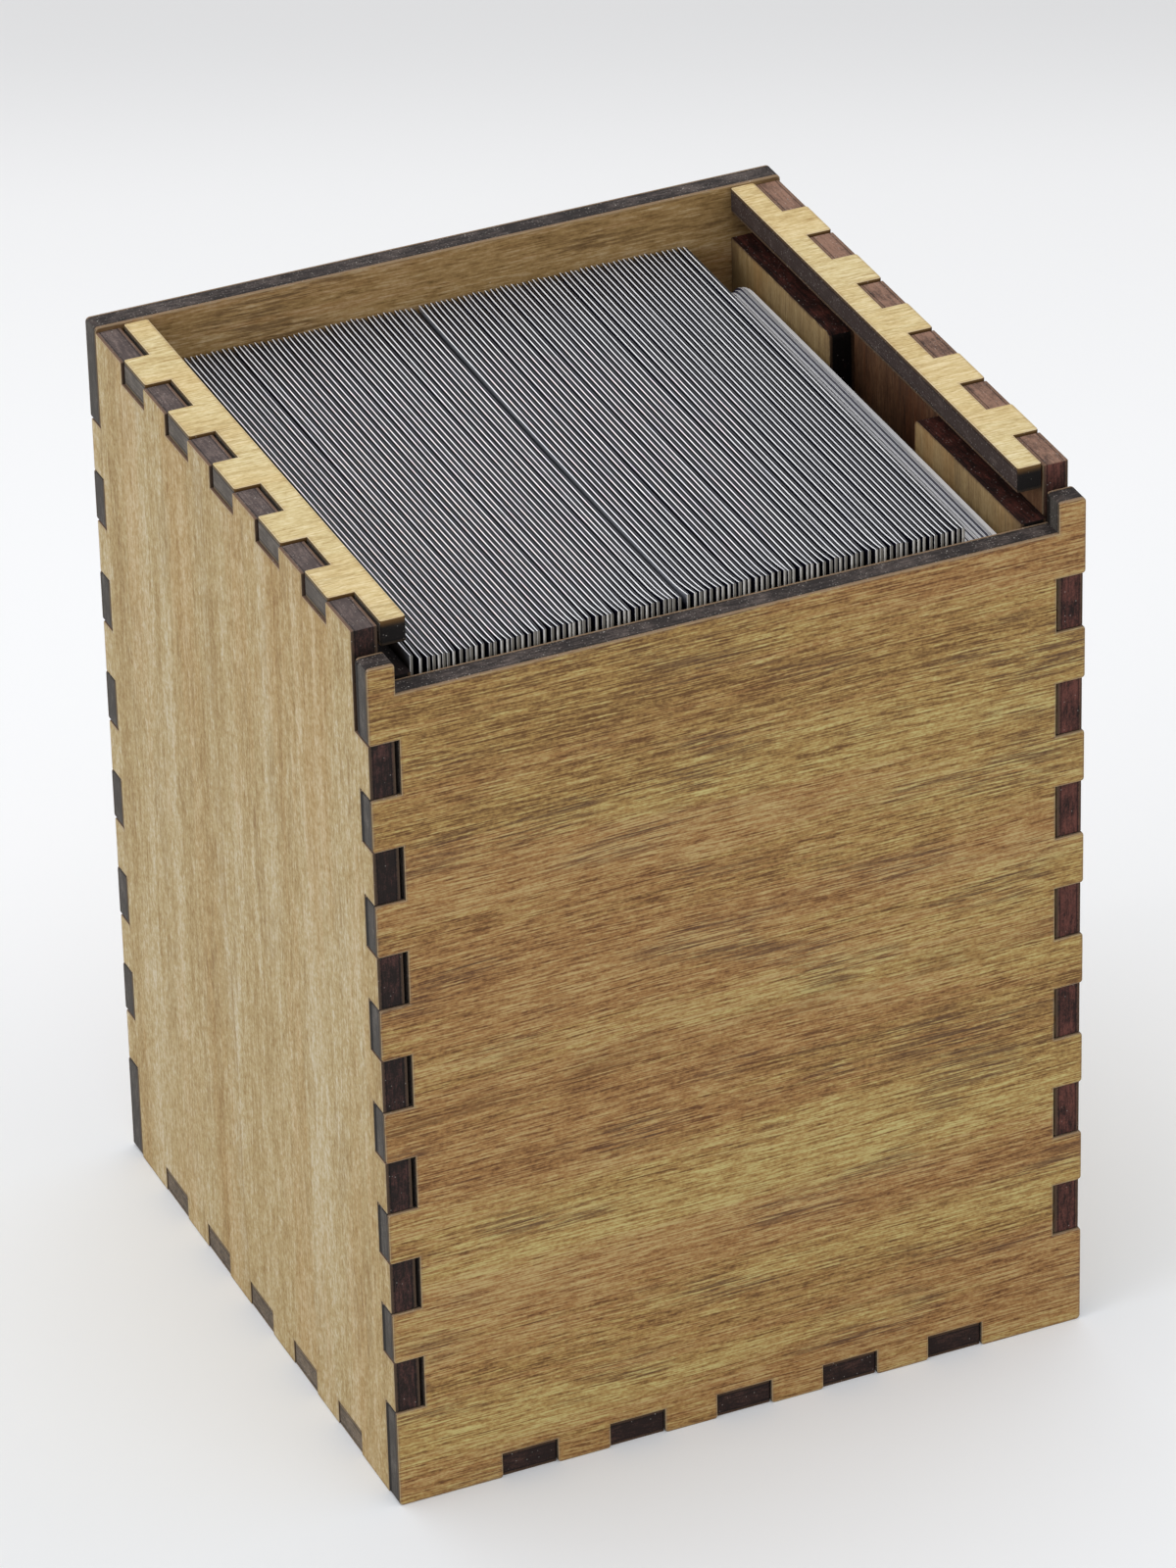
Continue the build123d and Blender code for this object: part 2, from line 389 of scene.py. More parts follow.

# %% [markdown]
# ## Corner smoke and shade
#
# Inside the box a face darkens beside the joints: partly smoke from the laser that was never sanded
# off, partly painted shade in the corners. The group darkens a face towards the ends of one axis.
# `Start` is where the darkening begins and `End` is the corner itself, both measured from the middle
# of the box.

# %% Build the corner smoke and shade group
smoke_and_shade_group, takes, gives = new_group(
    "Corner smoke", {"vector": "Place", "value": "Along, Start, End, Seed"}, {"value": "Mask"})
tree = smoke_and_shade_group
PUFF_SIZE = (5.0, 5.0, 5.0)
# the darkening is partly laser smoke and partly painted corner shade
PUFF_REACH = 5.0                       # mm between the furthest and the nearest edge of the smoke
puffs = cloud(tree, takes["Place"], PUFF_SIZE, takes["Seed"], detail=3.0, roughness=0.6)
ragged = nudged(tree, math_node(tree, "ABSOLUTE", takes["Along"]), puffs, PUFF_REACH)
thick = ramp(tree, ragged, takes["Start"], takes["End"])
put(gives["Mask"], math_node(tree, "MULTIPLY", thick, ramp(tree, puffs, 0.20, 0.55)))

# %% [markdown]
# ## Specks
#
# Dark edges catch pale dust. A Voronoi pattern gives each small cell one point, and only a share of
# the cells show theirs, so the specks look strewn and not sown in rows.

# %% Build the speck group
speck_group, takes, gives = new_group(
    "Specks", {"vector": "Place", "value": "Spacing, Size, Share"}, {"value": "Mask"})
tree = speck_group
SPECK_CORE = 0.4                       # the share of a speck's radius that is fully pale
density = math_node(tree, "DIVIDE", 1.0, takes["Spacing"])
cells = add(tree, "TexVoronoi", {"Vector": takes["Place"], "Scale": density}).outputs
radius = math_node(tree, "DIVIDE", takes["Size"], takes["Spacing"])
spot = ramp(tree, cells["Distance"], radius, math_node(tree, "MULTIPLY", radius, SPECK_CORE))
chance = add(tree, "SeparateColor", {0: cells["Color"]}).outputs[0]
shown = math_node(tree, "LESS_THAN", chance, takes["Share"])
put(gives["Mask"], math_node(tree, "MULTIPLY", spot, shown))

# %% [markdown]
# ## Starting a material
#
# Each material begins the same way: an empty tree, a Principled BSDF, and the place on the surface in
# millimetres. The place is read from the object's own coordinates. Every piece has its origin at the
# model's origin, so these are the model's coordinates, and they travel with a piece when it moves.
# A value that is the same all over a surface, such as the specular level, goes straight on the
# shader's own socket. Each material ends the same way too, with a colour and a shallow relief.

# %% Helpers that start and finish a material
def colour_of(red, green, blue):
    """A colour as a screen shows it, from 0 to 255, turned into the light that a shader works with."""
    return (*[(part / 255 / 12.92) if part <= 10 else ((part / 255 + 0.055) / 1.055) ** 2.4
              for part in (red, green, blue)], 1.0)


def start_material(name, **sockets):
    """A new material: its tree, its Principled BSDF and the place in millimetres."""
    material = bpy.data.materials.new(name)
    material.use_nodes = True
    tree = material.node_tree
    shader = tree.nodes["Principled BSDF"]
    for socket_name, value in sockets.items():
        shader.inputs[socket_name.replace("_", " ")].default_value = value
    coordinates = add(tree, "TexCoord").outputs["Object"]
    inputs = {0: coordinates, "Scale": 1 / MM}
    place = add(tree, "VectorMath", inputs, operation="SCALE").outputs[0]
    return material, tree, shader, place


def finish_material(tree, shader, colour, height, depth_mm):
    """Give the shader its colour, and a height from 0 to 1 that is worth that many millimetres."""
    put(shader.inputs["Base Color"], colour)
    inputs = {"Height": height, "Distance": depth_mm * MM}
    put(shader.inputs["Normal"], add(tree, "Bump", inputs).outputs["Normal"])


def turned(tree, place, order):
    """The place with its axes in another order, as in "zyx"."""
    axis = dict(zip("xyz", axes_of(tree, place)))
    return add(tree, "CombineXYZ", {i: axis[letter] for i, letter in enumerate(order)}).outputs[0]


def attribute(tree, name):
    """A value that the mesh carries at each of its points."""
    return add(tree, "Attribute", attribute_name=name).outputs["Fac"]


# %% [markdown]
# ## Veneer
#
# The box wears a brown stain, darker on the front and back than on the sides, whose paler and
# greyer tone is partly painted sheen from the lamp on the left. The rails are left pale. One function
# makes all of these veneers from the same groups. The grain runs along X on the front, back and
# rails, and upright on the sides and inner walls.

# %% A function that makes a veneer
AMOUNTS = ("Fibres", "Dashes", "Strands", "Mottle", "Bands", "Grit")
VENEER_SPECKS = {"Spacing": 5.0, "Size": 0.10, "Share": 0.10}
# the first colour darkens the inner corners: partly laser smoke, partly painted corner shade
SMOKE_AND_SHADE, PALE_DUST = (58, 40, 30), (235, 225, 205)


def make_veneer(name, order, seed, colours, fibre, amounts, band_width=6.0, patches=0.5,
                rubbed=(190, 172, 134), scorch=(118, 92, 76), growth_line=None, smoke_and_shade=None):
    """A veneered face. Order puts the grain's direction first. Fibre is its length and width."""
    material, tree, shader, place = start_material(name, Roughness=0.62, Specular_IOR_Level=0.25)
    along = turned(tree, place, order)
    palette = dict(zip(("Pale", "Middle", "Dark", "Zone", "Patch"), [colour_of(*c) for c in colours]))
    grain = use_group(tree, grain_group, {
        "Place": along, "Seed": seed, "Fibre Length": fibre[0], "Fibre Width": fibre[1],
        "Band Width": band_width, "Patches": patches, **dict(zip(AMOUNTS, amounts)), **palette})
    wood = grain["Color"]
    if growth_line:
        across, rise, waviness = growth_line
        line = use_group(tree, growth_group, {
            "Place": along, "Across": across, "Rise": rise, "Waviness": waviness, "Seed": seed})
        wood = tint(tree, wood, line["Line"], 0.6, palette["Dark"])
        wood = tint(tree, wood, line["Shade"], 0.35, palette["Dark"])
    if smoke_and_shade:
        direction, start, end = smoke_and_shade
        soot = use_group(tree, smoke_and_shade_group, {
            "Place": place, "Along": axes_of(tree, place)[direction], "Start": start, "End": end,
            "Seed": seed})
        wood = tint(tree, wood, soot["Mask"], 0.6, colour_of(*SMOKE_AND_SHADE))
    worn = use_group(tree, arris_group, {
        "Place": place, "Rim": attribute(tree, "rim"), "Arris": attribute(tree, "arris"), "Seed": seed})
    wood = tint(tree, wood, worn["Scorch"], 0.5, colour_of(*scorch))
    wood = tint(tree, wood, worn["Rubbed"], 0.35, colour_of(*rubbed))
    dust = use_group(tree, speck_group, {"Place": place, **VENEER_SPECKS})
    wood = tint(tree, wood, dust["Mask"], 0.5, colour_of(*PALE_DUST))
    finish_material(tree, shader, wood, grain["Height"], depth_mm=0.03)
    print("veneer", name)
    return material


# %% [markdown]
# The five colours of a veneer are its pale, middle and dark wood, the tint of its redder zones, and
# the dark of its patches. The six amounts say how strongly fibres, dashes, strands, mottle, bands and
# grit show. The inner faces are darker: painted shade, because little light reaches inside the box.
# The sides' inner faces and the rails' undersides are darkest.

# %% Make the veneers
X, Y, Z = 0, 1, 2                      # the axes by number
STAINED = ((199, 184, 120), (170, 135, 77), (107, 74, 39), (243, 226, 232), (90, 66, 50))
CELL = ((208, 183, 142), (171, 138, 88), (114, 86, 49), (240, 228, 222), (98, 74, 54))
# the sides' colours are paler and greyer than the front's: partly their stain, partly painted sheen
# from the left lamp
SIDE_WITH_SHEEN = ((198, 186, 159), (173, 151, 105), (142, 112, 65), (250, 240, 226), (128, 104, 76))
SHADED = ((186, 162, 118), (158, 132, 89), (116, 90, 58), (248, 234, 220), (96, 72, 50))
# painted shade: the darkest colours, for the sides' inner faces and the rails' undersides
DEEP_SHADE_COLOURS = ((128, 98, 70), (100, 70, 48), (64, 42, 30), (240, 214, 204), (52, 34, 26))
PALE = ((238, 224, 184), (214, 194, 142), (176, 146, 92), (252, 246, 238), (166, 136, 92))
outer_veneer = make_veneer("stained veneer, front and back", "xzy", 4.0, STAINED, fibre=(6.5, 0.18),
                           amounts=(2.35, 1.55, 0.8, 0.5, 1.1, 1.0), patches=0.6,
                           growth_line=(46.5, 5.0, 2.0))
cell_veneer = make_veneer("stained veneer, inside", "xzy", 31.0, CELL, fibre=(3.2, 0.24),
                          amounts=(1.4, 0.6, 0.8, 0.5, 0.7, 0.5), smoke_and_shade=(X, 31.0, 37.0))
side_veneer = make_veneer("stained veneer with painted sheen, sides", "zyx", 12.0, SIDE_WITH_SHEEN, fibre=(2.6, 0.28),
                          amounts=(1.2, 0.5, 0.9, 0.5, 1.1, 1.4), band_width=3.6, patches=0.2,
                          growth_line=(2.8, 3.0, 3.0))
# the sides' inner faces wear painted shade, with a dark scorch to match
deep_shade_veneer = make_veneer("veneer in painted shade, inside the sides", "zyx", 43.0, DEEP_SHADE_COLOURS,
                            fibre=(3.0, 0.28), amounts=(1.2, 0.5, 0.9, 0.5, 0.8, 0.6), patches=0.3,
                            scorch=(60, 38, 30))
# the inner walls' rub and scorch are dark: painted shade on the arris in the groove under the rails
inner_veneer = make_veneer("stained veneer, inner walls", "zyx", 57.0, SHADED, fibre=(3.4, 0.26),
                           amounts=(0.9, 0.4, 0.7, 0.4, 0.5, 0.6), patches=0.3, rubbed=(64, 46, 36),
                           scorch=(72, 46, 36), smoke_and_shade=(Y, 29.0, 36.0))
# the rails' undersides wear painted shade, with a dark rub and scorch to match
under_veneer = make_veneer("veneer in painted shade, under the rails", "xyz", 71.0, DEEP_SHADE_COLOURS,
                           fibre=(3.0, 0.28), amounts=(1.2, 0.5, 0.9, 0.5, 0.8, 0.6), patches=0.3,
                           rubbed=(84, 64, 46), scorch=(60, 38, 30))
rail_veneer = make_veneer("pale veneer, rails", "xyz", 70.0, PALE, fibre=(2.4, 0.20),
                          amounts=(1.6, 0.8, 0.8, 0.4, 0.5, 0.5), patches=0.3, rubbed=(232, 218, 182),
                          scorch=(150, 112, 70))

# %% [markdown]
# ## Cut edges
#
# A cut edge needs to know how deep in the sheet each point lies. The middle of every sheet is known
# from the piece's box, and its direction is the thin one, so the material works out `Depth` from the
# coordinates alone. Soot differs from piece to piece and even from edge to edge: grey on the front's
# fingers, partly painted sheen where they face the left lamp, purple-brown on the tops of the sides,
# plum on the right-hand tabs, and nearly black elsewhere. `share` says how much of the edge is brown
# and not sooty. The dust comes in two sizes of speck, close together and faint, or further apart and
# plain.

# %% A function that makes a cut edge
EDGE_SPECKS = (                        # spacing and size in mm, and how strongly they show
    (0.30, 0.09, 0.35),
    (1.0, 0.10, 0.8))
GREY_DUST = (190, 184, 176)


def make_cut_edge(name, node, thin, seed, soot, brown, share=0.2, veneer=(84, 64, 48), dusty=0.3,
                  high_part=None):
    """The charred edge of one sheet. Thin is the axis across the sheet. High part is a colour for
    the part near the sheet's high face, with the depths where it begins and where it is full."""
    material, tree, shader, place = start_material(name, Roughness=0.65, Specular_IOR_Level=0.12)
    low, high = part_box(node)
    middle, half = (low[thin] + high[thin]) / 2 / MM, (high[thin] - low[thin]) / 2 / MM
    from_middle = math_node(tree, "SUBTRACT", axes_of(tree, place)[thin], middle)
    depth = math_node(tree, "DIVIDE", from_middle, half)
    char = use_group(tree, char_group, {
        "Place": place, "Depth": depth, "Seed": seed, "Soot": colour_of(*soot),
        "Brown": colour_of(*brown), "Veneer": colour_of(*veneer), "Brown Share": share})
    colour = char["Color"]
    if high_part:
        other, start, full = high_part
        colour = tint(tree, colour, ramp(tree, depth, start, full), 0.8, colour_of(*other))
    for spacing, size, strength in EDGE_SPECKS:
        dust = use_group(tree, speck_group, {
            "Place": place, "Spacing": spacing, "Size": size, "Share": dusty})
        colour = tint(tree, colour, dust["Mask"], strength, colour_of(*GREY_DUST))
    finish_material(tree, shader, colour, char["Height"], depth_mm=0.04)
    print(name, "on a sheet", round(2 * half, 2), "mm thick")
    return material


# %% [markdown]
# ## From a plain sheet to a cut and sanded one
#
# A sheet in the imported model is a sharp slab. Real ones are not: sandpaper rounds the tips of the
# fingers and breaks every arris. A Bevel modifier could round them, but it can't also lay down the
# `rim` and `arris` attributes that the veneer reads. So each sheet is drawn again from its outline,
# as a stack of outlines that shrink towards the middle of the veneer. Each one knows its distance
# from the cut, and neighbours in the stack are joined by a band of faces.
#
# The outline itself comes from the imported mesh. Its triangles are dissolved, and the corners of the
# large face are read in their order around it.

# %% A function that reads a sheet's outline
PLANES = ((Y, Z), (Z, X), (X, Y))      # the two axes in the plane of a sheet, for each thin axis
SAME_PLACE = 0.001 * MM                # corners closer than this are one
SAME_PLANE = math.radians(1)
FACES_UP = 0.99                        # the cosine of the widest angle to the thin axis


def outline_of(node, thin):
    """The corners of a sheet's large face, anticlockwise, as points in its plane."""
    work = bmesh.new()
    work.from_mesh(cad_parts[node].data)
    bmesh.ops.remove_doubles(work, verts=work.verts, dist=SAME_PLACE)
    bmesh.ops.dissolve_limit(work, angle_limit=SAME_PLANE, verts=work.verts, edges=work.edges)
    upper = [face for face in work.faces if face.normal[thin] > FACES_UP]
    largest = max(upper, key=lambda face: face.calc_area())
    first, second = PLANES[thin]
    outline = [Vector((vert.co[first], vert.co[second])) for vert in largest.verts]
    work.free()
    return outline


# %% [markdown]
# Moving an outline inwards shifts each corner along its mitre, which is the line that halves the
# angle there. An outside corner that turns sharply is a finger's tip. It becomes an arc, and the
# arc's radius shrinks with the distance inwards, as it does on a sanded tip.

# %% A function that shrinks an outline and rounds its tips
TIP_STEPS = 3
SHARP_TURN = 0.85            # the sine of the turn at a corner that counts as a tip
SMALLEST_RADIUS = 0.004 * MM


def shrunken(outline, inset, tip_radius):
    """The outline moved inwards, with its tips rounded."""
    points = []
    for before, corner, after in zip(outline[-1:] + outline[:-1], outline, outline[1:] + outline[:1]):
        arriving, leaving = (corner - before).normalized(), (after - corner).normalized()
        inward = [Vector((-way.y, way.x)) for way in (arriving, leaving)]
        mitre = (inward[0] + inward[1]) / (1 + inward[0].dot(inward[1]))
        moved = corner + mitre * inset
        if arriving.cross(leaving) < SHARP_TURN:
            points.append(moved)
            continue
        radius = max(tip_radius - inset, SMALLEST_RADIUS)
        centre = moved + mitre * radius
        for step in range(TIP_STEPS + 1):
            angle = math.pi / 2 * step / TIP_STEPS
            points.append(centre - (inward[0] * math.cos(angle) + inward[1] * math.sin(angle)) * radius)
    return points


# %% [markdown]
# The stack runs from the middle of the veneer outwards: untouched veneer, the two rings where scorch
# fades, the broken arris, and the cut edge. The other face of the sheet repeats it in reverse.

# %% A function that stacks a sheet's outlines
ARRIS = 0.13 * MM            # width of the broken arris
STACK = (                    # inset, drop below the face, rim, arris
    (0.48 * MM, 0.0, 0.0, 0.0),
    (0.27 * MM, 0.0, 0.4, 0.0),
    (ARRIS + 0.02 * MM, 0.0, 1.0, 0.0),
    (ARRIS, 0.0, 1.0, 1.0),
    (ARRIS * 0.29, ARRIS * 0.29, 1.0, 1.0),
    (0.0, ARRIS, 1.0, 1.0))


def stack_outlines(work, node, thin, tip_radius):
    """The rings of points of a sheet's stack, from its high face to its low one."""
    low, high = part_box(node)
    first, second = PLANES[thin]
    outline = outline_of(node, thin)
    rim = work.verts.layers.float.new("rim")
    arris = work.verts.layers.float.new("arris")
    rings = []
    for face_place, inwards in ((high[thin], -1.0), (low[thin], 1.0)):
        side = []
        for inset, drop, rim_value, arris_value in STACK:
            ring = []
            for point in shrunken(outline, inset, tip_radius):
                place = Vector()
                place[first], place[second], place[thin] = *point, face_place + inwards * drop
                vert = work.verts.new(place)
                vert[rim], vert[arris] = rim_value, arris_value
                ring.append(vert)
            side.append(ring)
        rings += side if inwards < 0 else side[::-1]
    return rings


# %% [markdown]
# A bmesh is Blender's workbench for a mesh. When the work is done, `new_piece` turns it into an
# object, gives it its materials and puts it in the scene.

# %% A function that finishes a piece
def new_piece(name, work, materials):
    """Turn a bmesh into an object that wears these materials."""
    mesh = bpy.data.meshes.new(name)
    work.to_mesh(mesh)
    work.free()
    for material in materials:
        mesh.materials.append(material)
    piece = bpy.data.objects.new(name, mesh)
    bpy.context.scene.collection.objects.link(piece)
    print(name, len(mesh.polygons), "faces")
    return piece


# %% [markdown]
# `dress_sheet` joins a sheet's rings with bands of faces and says which material each face wears:
# the high or the low veneer, or the cut edge. The veneers wrap over the broken arris, because their
# material draws the rub on it. Some cut edges face a way of their own and wear a special material.

# %% A function that dresses one sheet
VENEER_BANDS = 4             # bands of veneer at each face; the next one is already cut edge
HIGH_VENEER, LOW_VENEER, CUT, SPECIAL = range(4)
FACES_THAT_WAY = 0.6         # the cosine of the widest angle to a special direction


def dress_sheet(node, thin, tip_radius, veneers, cut, special=()):
    """A sanded copy of a wooden piece. Veneers are those of its high and its low face. Cut is the
    material of its cut edges, except those that face a special direction."""
    work = bmesh.new()
    rings = stack_outlines(work, node, thin, tip_radius)
    bands = len(rings) - 1
    for number, (upper, lower) in enumerate(zip(rings, rings[1:])):
        veneered = min(number, bands - 1 - number) < VENEER_BANDS
        for index in range(len(upper)):
            after = (index + 1) % len(upper)
            face = work.faces.new((upper[after], upper[index], lower[index], lower[after]))
            face.normal_update()
            facing = [face.normal.dot(Vector(way)) > FACES_THAT_WAY for way, _ in special]
            if veneered:
                face.material_index = HIGH_VENEER if number < bands / 2 else LOW_VENEER
            elif True in facing:
                face.material_index = SPECIAL + facing.index(True)
            else:
                face.material_index = CUT
    work.faces.new(rings[0]).material_index = HIGH_VENEER
    work.faces.new(rings[-1][::-1]).material_index = LOW_VENEER
    piece = new_piece(node + "_wood", work, [*veneers, cut, *[own for _, own in special]])
    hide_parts(node)
    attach(piece, "box")
    return piece


# %% [markdown]
# ## The wooden pieces
#
# Every sheet gets its veneers and its cut edges. Directions are given as unit vectors, so that the
# edges which face up, left or forward can have soot of their own, and in places painted sheen. The
# ends of the front's fingers are grey, partly painted sheen from the left lamp, and black at the back,
# next to the joint: partly char, partly painted shade of the joint's narrow gap.

# %% Dress the front and the back
UP, FORWARD, LEFTWARD, RIGHTWARD = (0, 0, 1), (0, -1, 0), (-1, 0, 0), (1, 0, 0)
FINGER_TIP = 0.35 * MM
TAB_TIP = 0.15 * MM
# black at the back of the front's finger ends: partly char, partly painted shade of the joint's narrow
# gap
CHAR_AND_GAP_SHADE = ((14, 9, 8), 0.36, 0.50)
for node, veneers, seed, high_part in (
        ("front_panel", [cell_veneer, outer_veneer], 1.0, CHAR_AND_GAP_SHADE),
        ("back_panel", [outer_veneer, cell_veneer], 2.0, None)):
    # the grey of the front's finger ends is partly painted sheen from the left lamp
    edge = make_cut_edge(f"cut edge, {node}", node, Y, seed, soot=(70, 66, 62), brown=(108, 102, 96),
                         share=0.25, veneer=(92, 78, 62), high_part=high_part)
    top = make_cut_edge(f"cut top, {node}", node, Y, seed + 20, soot=(48, 43, 42),
                        brown=(106, 95, 90), share=0.3, veneer=(150, 124, 96), dusty=0.5)
    piece = dress_sheet(node, Y, FINGER_TIP, veneers, edge, [(UP, top)])

# %% [markdown]
# The tabs of the sides show their ends between the front's fingers: nearly black on the left, plum
# and brown on the right. The tops of the sides stand between the rails' tabs. They are purple-brown
# on the left and lighter and redder on the right, partly painted copper sheen. The sides' inner faces
# wear painted shade. They are purple-brown
# on the left and lighter on the right, where less soot settled. The sides' inner faces are smoked.

# %% Dress the sides
for side, veneers, tab_colours, tab_share, top_colours, top_share in (
        ("left", [deep_shade_veneer, side_veneer],
         ((38, 31, 29), (94, 63, 58)), 0.27, ((82, 72, 70), (130, 114, 108)), 0.3),
        # the right tops are lighter and redder than the left: partly painted copper sheen
        ("right", [side_veneer, deep_shade_veneer],
         ((40, 29, 27), (108, 66, 58)), 0.4, ((74, 58, 52), (150, 116, 98)), 0.5)):
    node = f"{side}_side_panel"
    edge = make_cut_edge(f"cut edge, {node}", node, X, 3.0, *tab_colours, tab_share,
                         veneer=(84, 68, 54), dusty=0.05)
    top = make_cut_edge(f"cut top, {node}", node, X, 5.0, *top_colours, top_share,
                        veneer=(118, 92, 74))
    piece = dress_sheet(node, X, TAB_TIP, veneers, edge, [(UP, top)])

# %% [markdown]
# The inner walls line the sides. Their tops are the ledge that the lid slides on, nearly black on the
# left, as painted shade under the rail, and a dark red-brown on the right.

# %% Dress the inner walls
for seed, (side, soot, brown) in enumerate((
        # the left ledge's near black is painted shade under the rail
        ("left", (22, 16, 16), (46, 30, 28)), ("right", (36, 23, 21), (98, 54, 46)))):
    node = f"{side}_inner_wall"
    edge = make_cut_edge(f"cut edge, {node}", node, X, 7.0 + seed, soot=(20, 16, 15),
                         brown=(56, 38, 32), share=0.1, dusty=0.1)
    top = make_cut_edge(f"cut top, {node}", node, X, 9.0 + seed, soot, brown, share=0.35,
                        veneer=soot)
    piece = dress_sheet(node, X, TAB_TIP, [inner_veneer, inner_veneer], edge, [(UP, top)])

# %% [markdown]
# The bottom's tabs show their ends low on every side. The left ones catch more light and dust.

# %% Dress the bottom
edge = make_cut_edge("cut edge, bottom_panel", "bottom_panel", Z, 13.0, soot=(42, 32, 30),
                     brown=(92, 66, 58), share=0.25, dusty=0.08)
tab_end = make_cut_edge("cut tab ends, bottom_panel", "bottom_panel", Z, 14.0, soot=(84, 74, 64),
                        brown=(128, 114, 98), share=0.35, veneer=(112, 94, 72))
piece = dress_sheet("bottom_panel", Z, TAB_TIP, [cell_veneer, outer_veneer], edge,
                    [(LEFTWARD, tab_end)])

# %% [markdown]
# The rails lie flat on the sides with their tabs outwards. Their tops are the palest wood on the box.
# Their undersides are darker, as painted shade, since they face down into the groove. Their inner edges
# are brown-grey, and the ends of their tabs light grey, partly painted sheen of the left lamp. Their
# front ends are nearly black, and tanned towards the top, where sandpaper took the soot off.

# %% Dress the rails
RAIL_TIP = 0.3 * MM
TANNED = ((112, 82, 46), 0.35, 1.0)
for seed, (side, outwards) in enumerate((("left", LEFTWARD), ("right", RIGHTWARD))):
    node = f"{side}_lid_rail"
    edge = make_cut_edge(f"cut edge, {node}", node, Z, 15.0 + seed, soot=(64, 53, 50),
                         brown=(104, 92, 86), share=0.2, veneer=(92, 72, 50))
    front_end = make_cut_edge(f"cut front end, {node}", node, Z, 17.0 + seed, soot=(24, 21, 20),
                              brown=(52, 46, 42), share=0.15, veneer=(50, 40, 30), dusty=0.1,
                              high_part=TANNED)
    # the left rail's tab ends face the left lamp: their light grey is partly painted sheen
    tab_end = make_cut_edge(f"cut tab ends, {node}", node, Z, 19.0 + seed, soot=(84, 78, 72),
                            brown=(120, 112, 104), share=0.3, veneer=(108, 90, 62))
    piece = dress_sheet(node, Z, RAIL_TIP, [rail_veneer, under_veneer], edge,
                        [(FORWARD, front_end), (outwards, tab_end)])

# %% [markdown]
# ## Sleeved cards
#
# A sleeve is a pouch of clear film, welded at its two sides and its bottom and open at the top. The
# card inside is shorter, so the top of each sleeve is an empty slot a few millimetres deep. Seen from
# above, a deck is a row of bright film edges, dark slots and grey films. Boxes would show none of
# that, so each sleeve is built as a ring of cross-sections along the card:
#
#     b c   f g      b, c  top of the left film       f, g  top of the right film
#     | |   | |
#     | d - e |      d, e  the card's upper edge, at the bottom of the slot
#     |       |
#     a ----- h      a, h  the bottom
#
# At the two ends the films meet, so the section closes to a thin bar.

# %% The sizes of a sleeve
SLEEVE_PITCH = 0.6 * MM
AIR = 0.05 * MM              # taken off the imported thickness, so that neighbours never touch
LEFT_FILM = 0.145 * MM
RIGHT_FILM = 0.14 * MM       # with the card against it
SLOT_DEEP = 3.9 * MM
WELD_THICK = 0.31 * MM
SLEEVE_STATIONS = (          # mm from either end, and the share of the full thickness there
    (0.0, 0.0), (0.35, 0.35), (1.1, 0.85), (2.6, 1.0), (6.0, 1.0), (12.0, 1.0), (19.0, 1.0),
    (26.0, 1.0), (33.5, 1.0))


def stations(width):
    """Distances along a sleeve and the share of its thickness there, the same from both ends."""
    near = [(place * MM, share) for place, share in SLEEVE_STATIONS]
    far = [(width - place, share) for place, share in reversed(near[:-1])]
    return near + far


def section_of(middle, share, thickness, bottom_z, slot_z, left_top, right_top):
    """The eight points of a cross-section, in x and z, by their letters in the drawing."""
    thick = WELD_THICK + (thickness - AIR - WELD_THICK) * share
    low_x, high_x = middle - thick / 2, middle + thick / 2
    slot_left = low_x + LEFT_FILM * thick / (thickness - AIR)
    slot_right = high_x - RIGHT_FILM * thick / (thickness - AIR)
    if share == 0.0:
        slot_right = slot_left
    return {"a": (low_x, bottom_z), "b": (low_x, left_top), "c": (slot_left, left_top),
            "d": (slot_left, slot_z), "e": (slot_right, slot_z), "f": (slot_right, right_top),
            "g": (high_x, right_top), "h": (high_x, bottom_z)}


# %% [markdown]
# No deck stands perfectly straight. The decks lean a little, their ends wander in and out, and single
# sleeves sit higher or lower than their neighbours. At the front the thin welds bunch into small
# groups with dark gaps between them. A seeded random generator gives each sleeve its own small
# errors, the same ones on every run, and a slow noise adds those that neighbours share. They stay
# smaller than the gaps, so no sleeve cuts another.

# %% Functions that set one sleeve apart from its neighbours
BUNCHED = 3.6 * MM           # how far from its ends a sleeve bends towards its group
BUNCH_FALL = 1.6             # the power by which the bend fades from the end


def slip(chance, reach):
    """A random error of up to so many millimetres either way."""
    return chance.uniform(-reach, reach) * MM


def wander(left_x, reach, scale, seed):
    """An error of up to so many millimetres either way that changes slowly from sleeve to sleeve."""
    return reach * MM * noise.noise(Vector((left_x / MM * scale + 0.37, seed, 3.3)))


def sleeve_errors(left_x, ends, chance):
    """How far a sleeve stands up, how far back its front and back ends are, how its middle bends, how
    its top waves, and how far its front and back ends bunch. The ends of a deck never bunch."""
    rise = slip(chance, 0.07) + wander(left_x, reach=0.10, scale=0.11, seed=1.0)
    back = slip(chance, 0.08)
    backs = (back + wander(left_x, reach=0.20, scale=0.5, seed=2.0),
             back + wander(left_x, reach=0.5, scale=0.13, seed=4.0))
    bend = [slip(chance, 0.012) for _ in range(2)]
    lift = [slip(chance, 0.05) for _ in range(2)]
    bunch = (wander(left_x, reach=0.34, scale=0.83, seed=7.0),
             wander(left_x, reach=0.16, scale=0.83, seed=9.0))
    return rise, backs, bend, lift, (0.0, 0.0) if True in ends else bunch


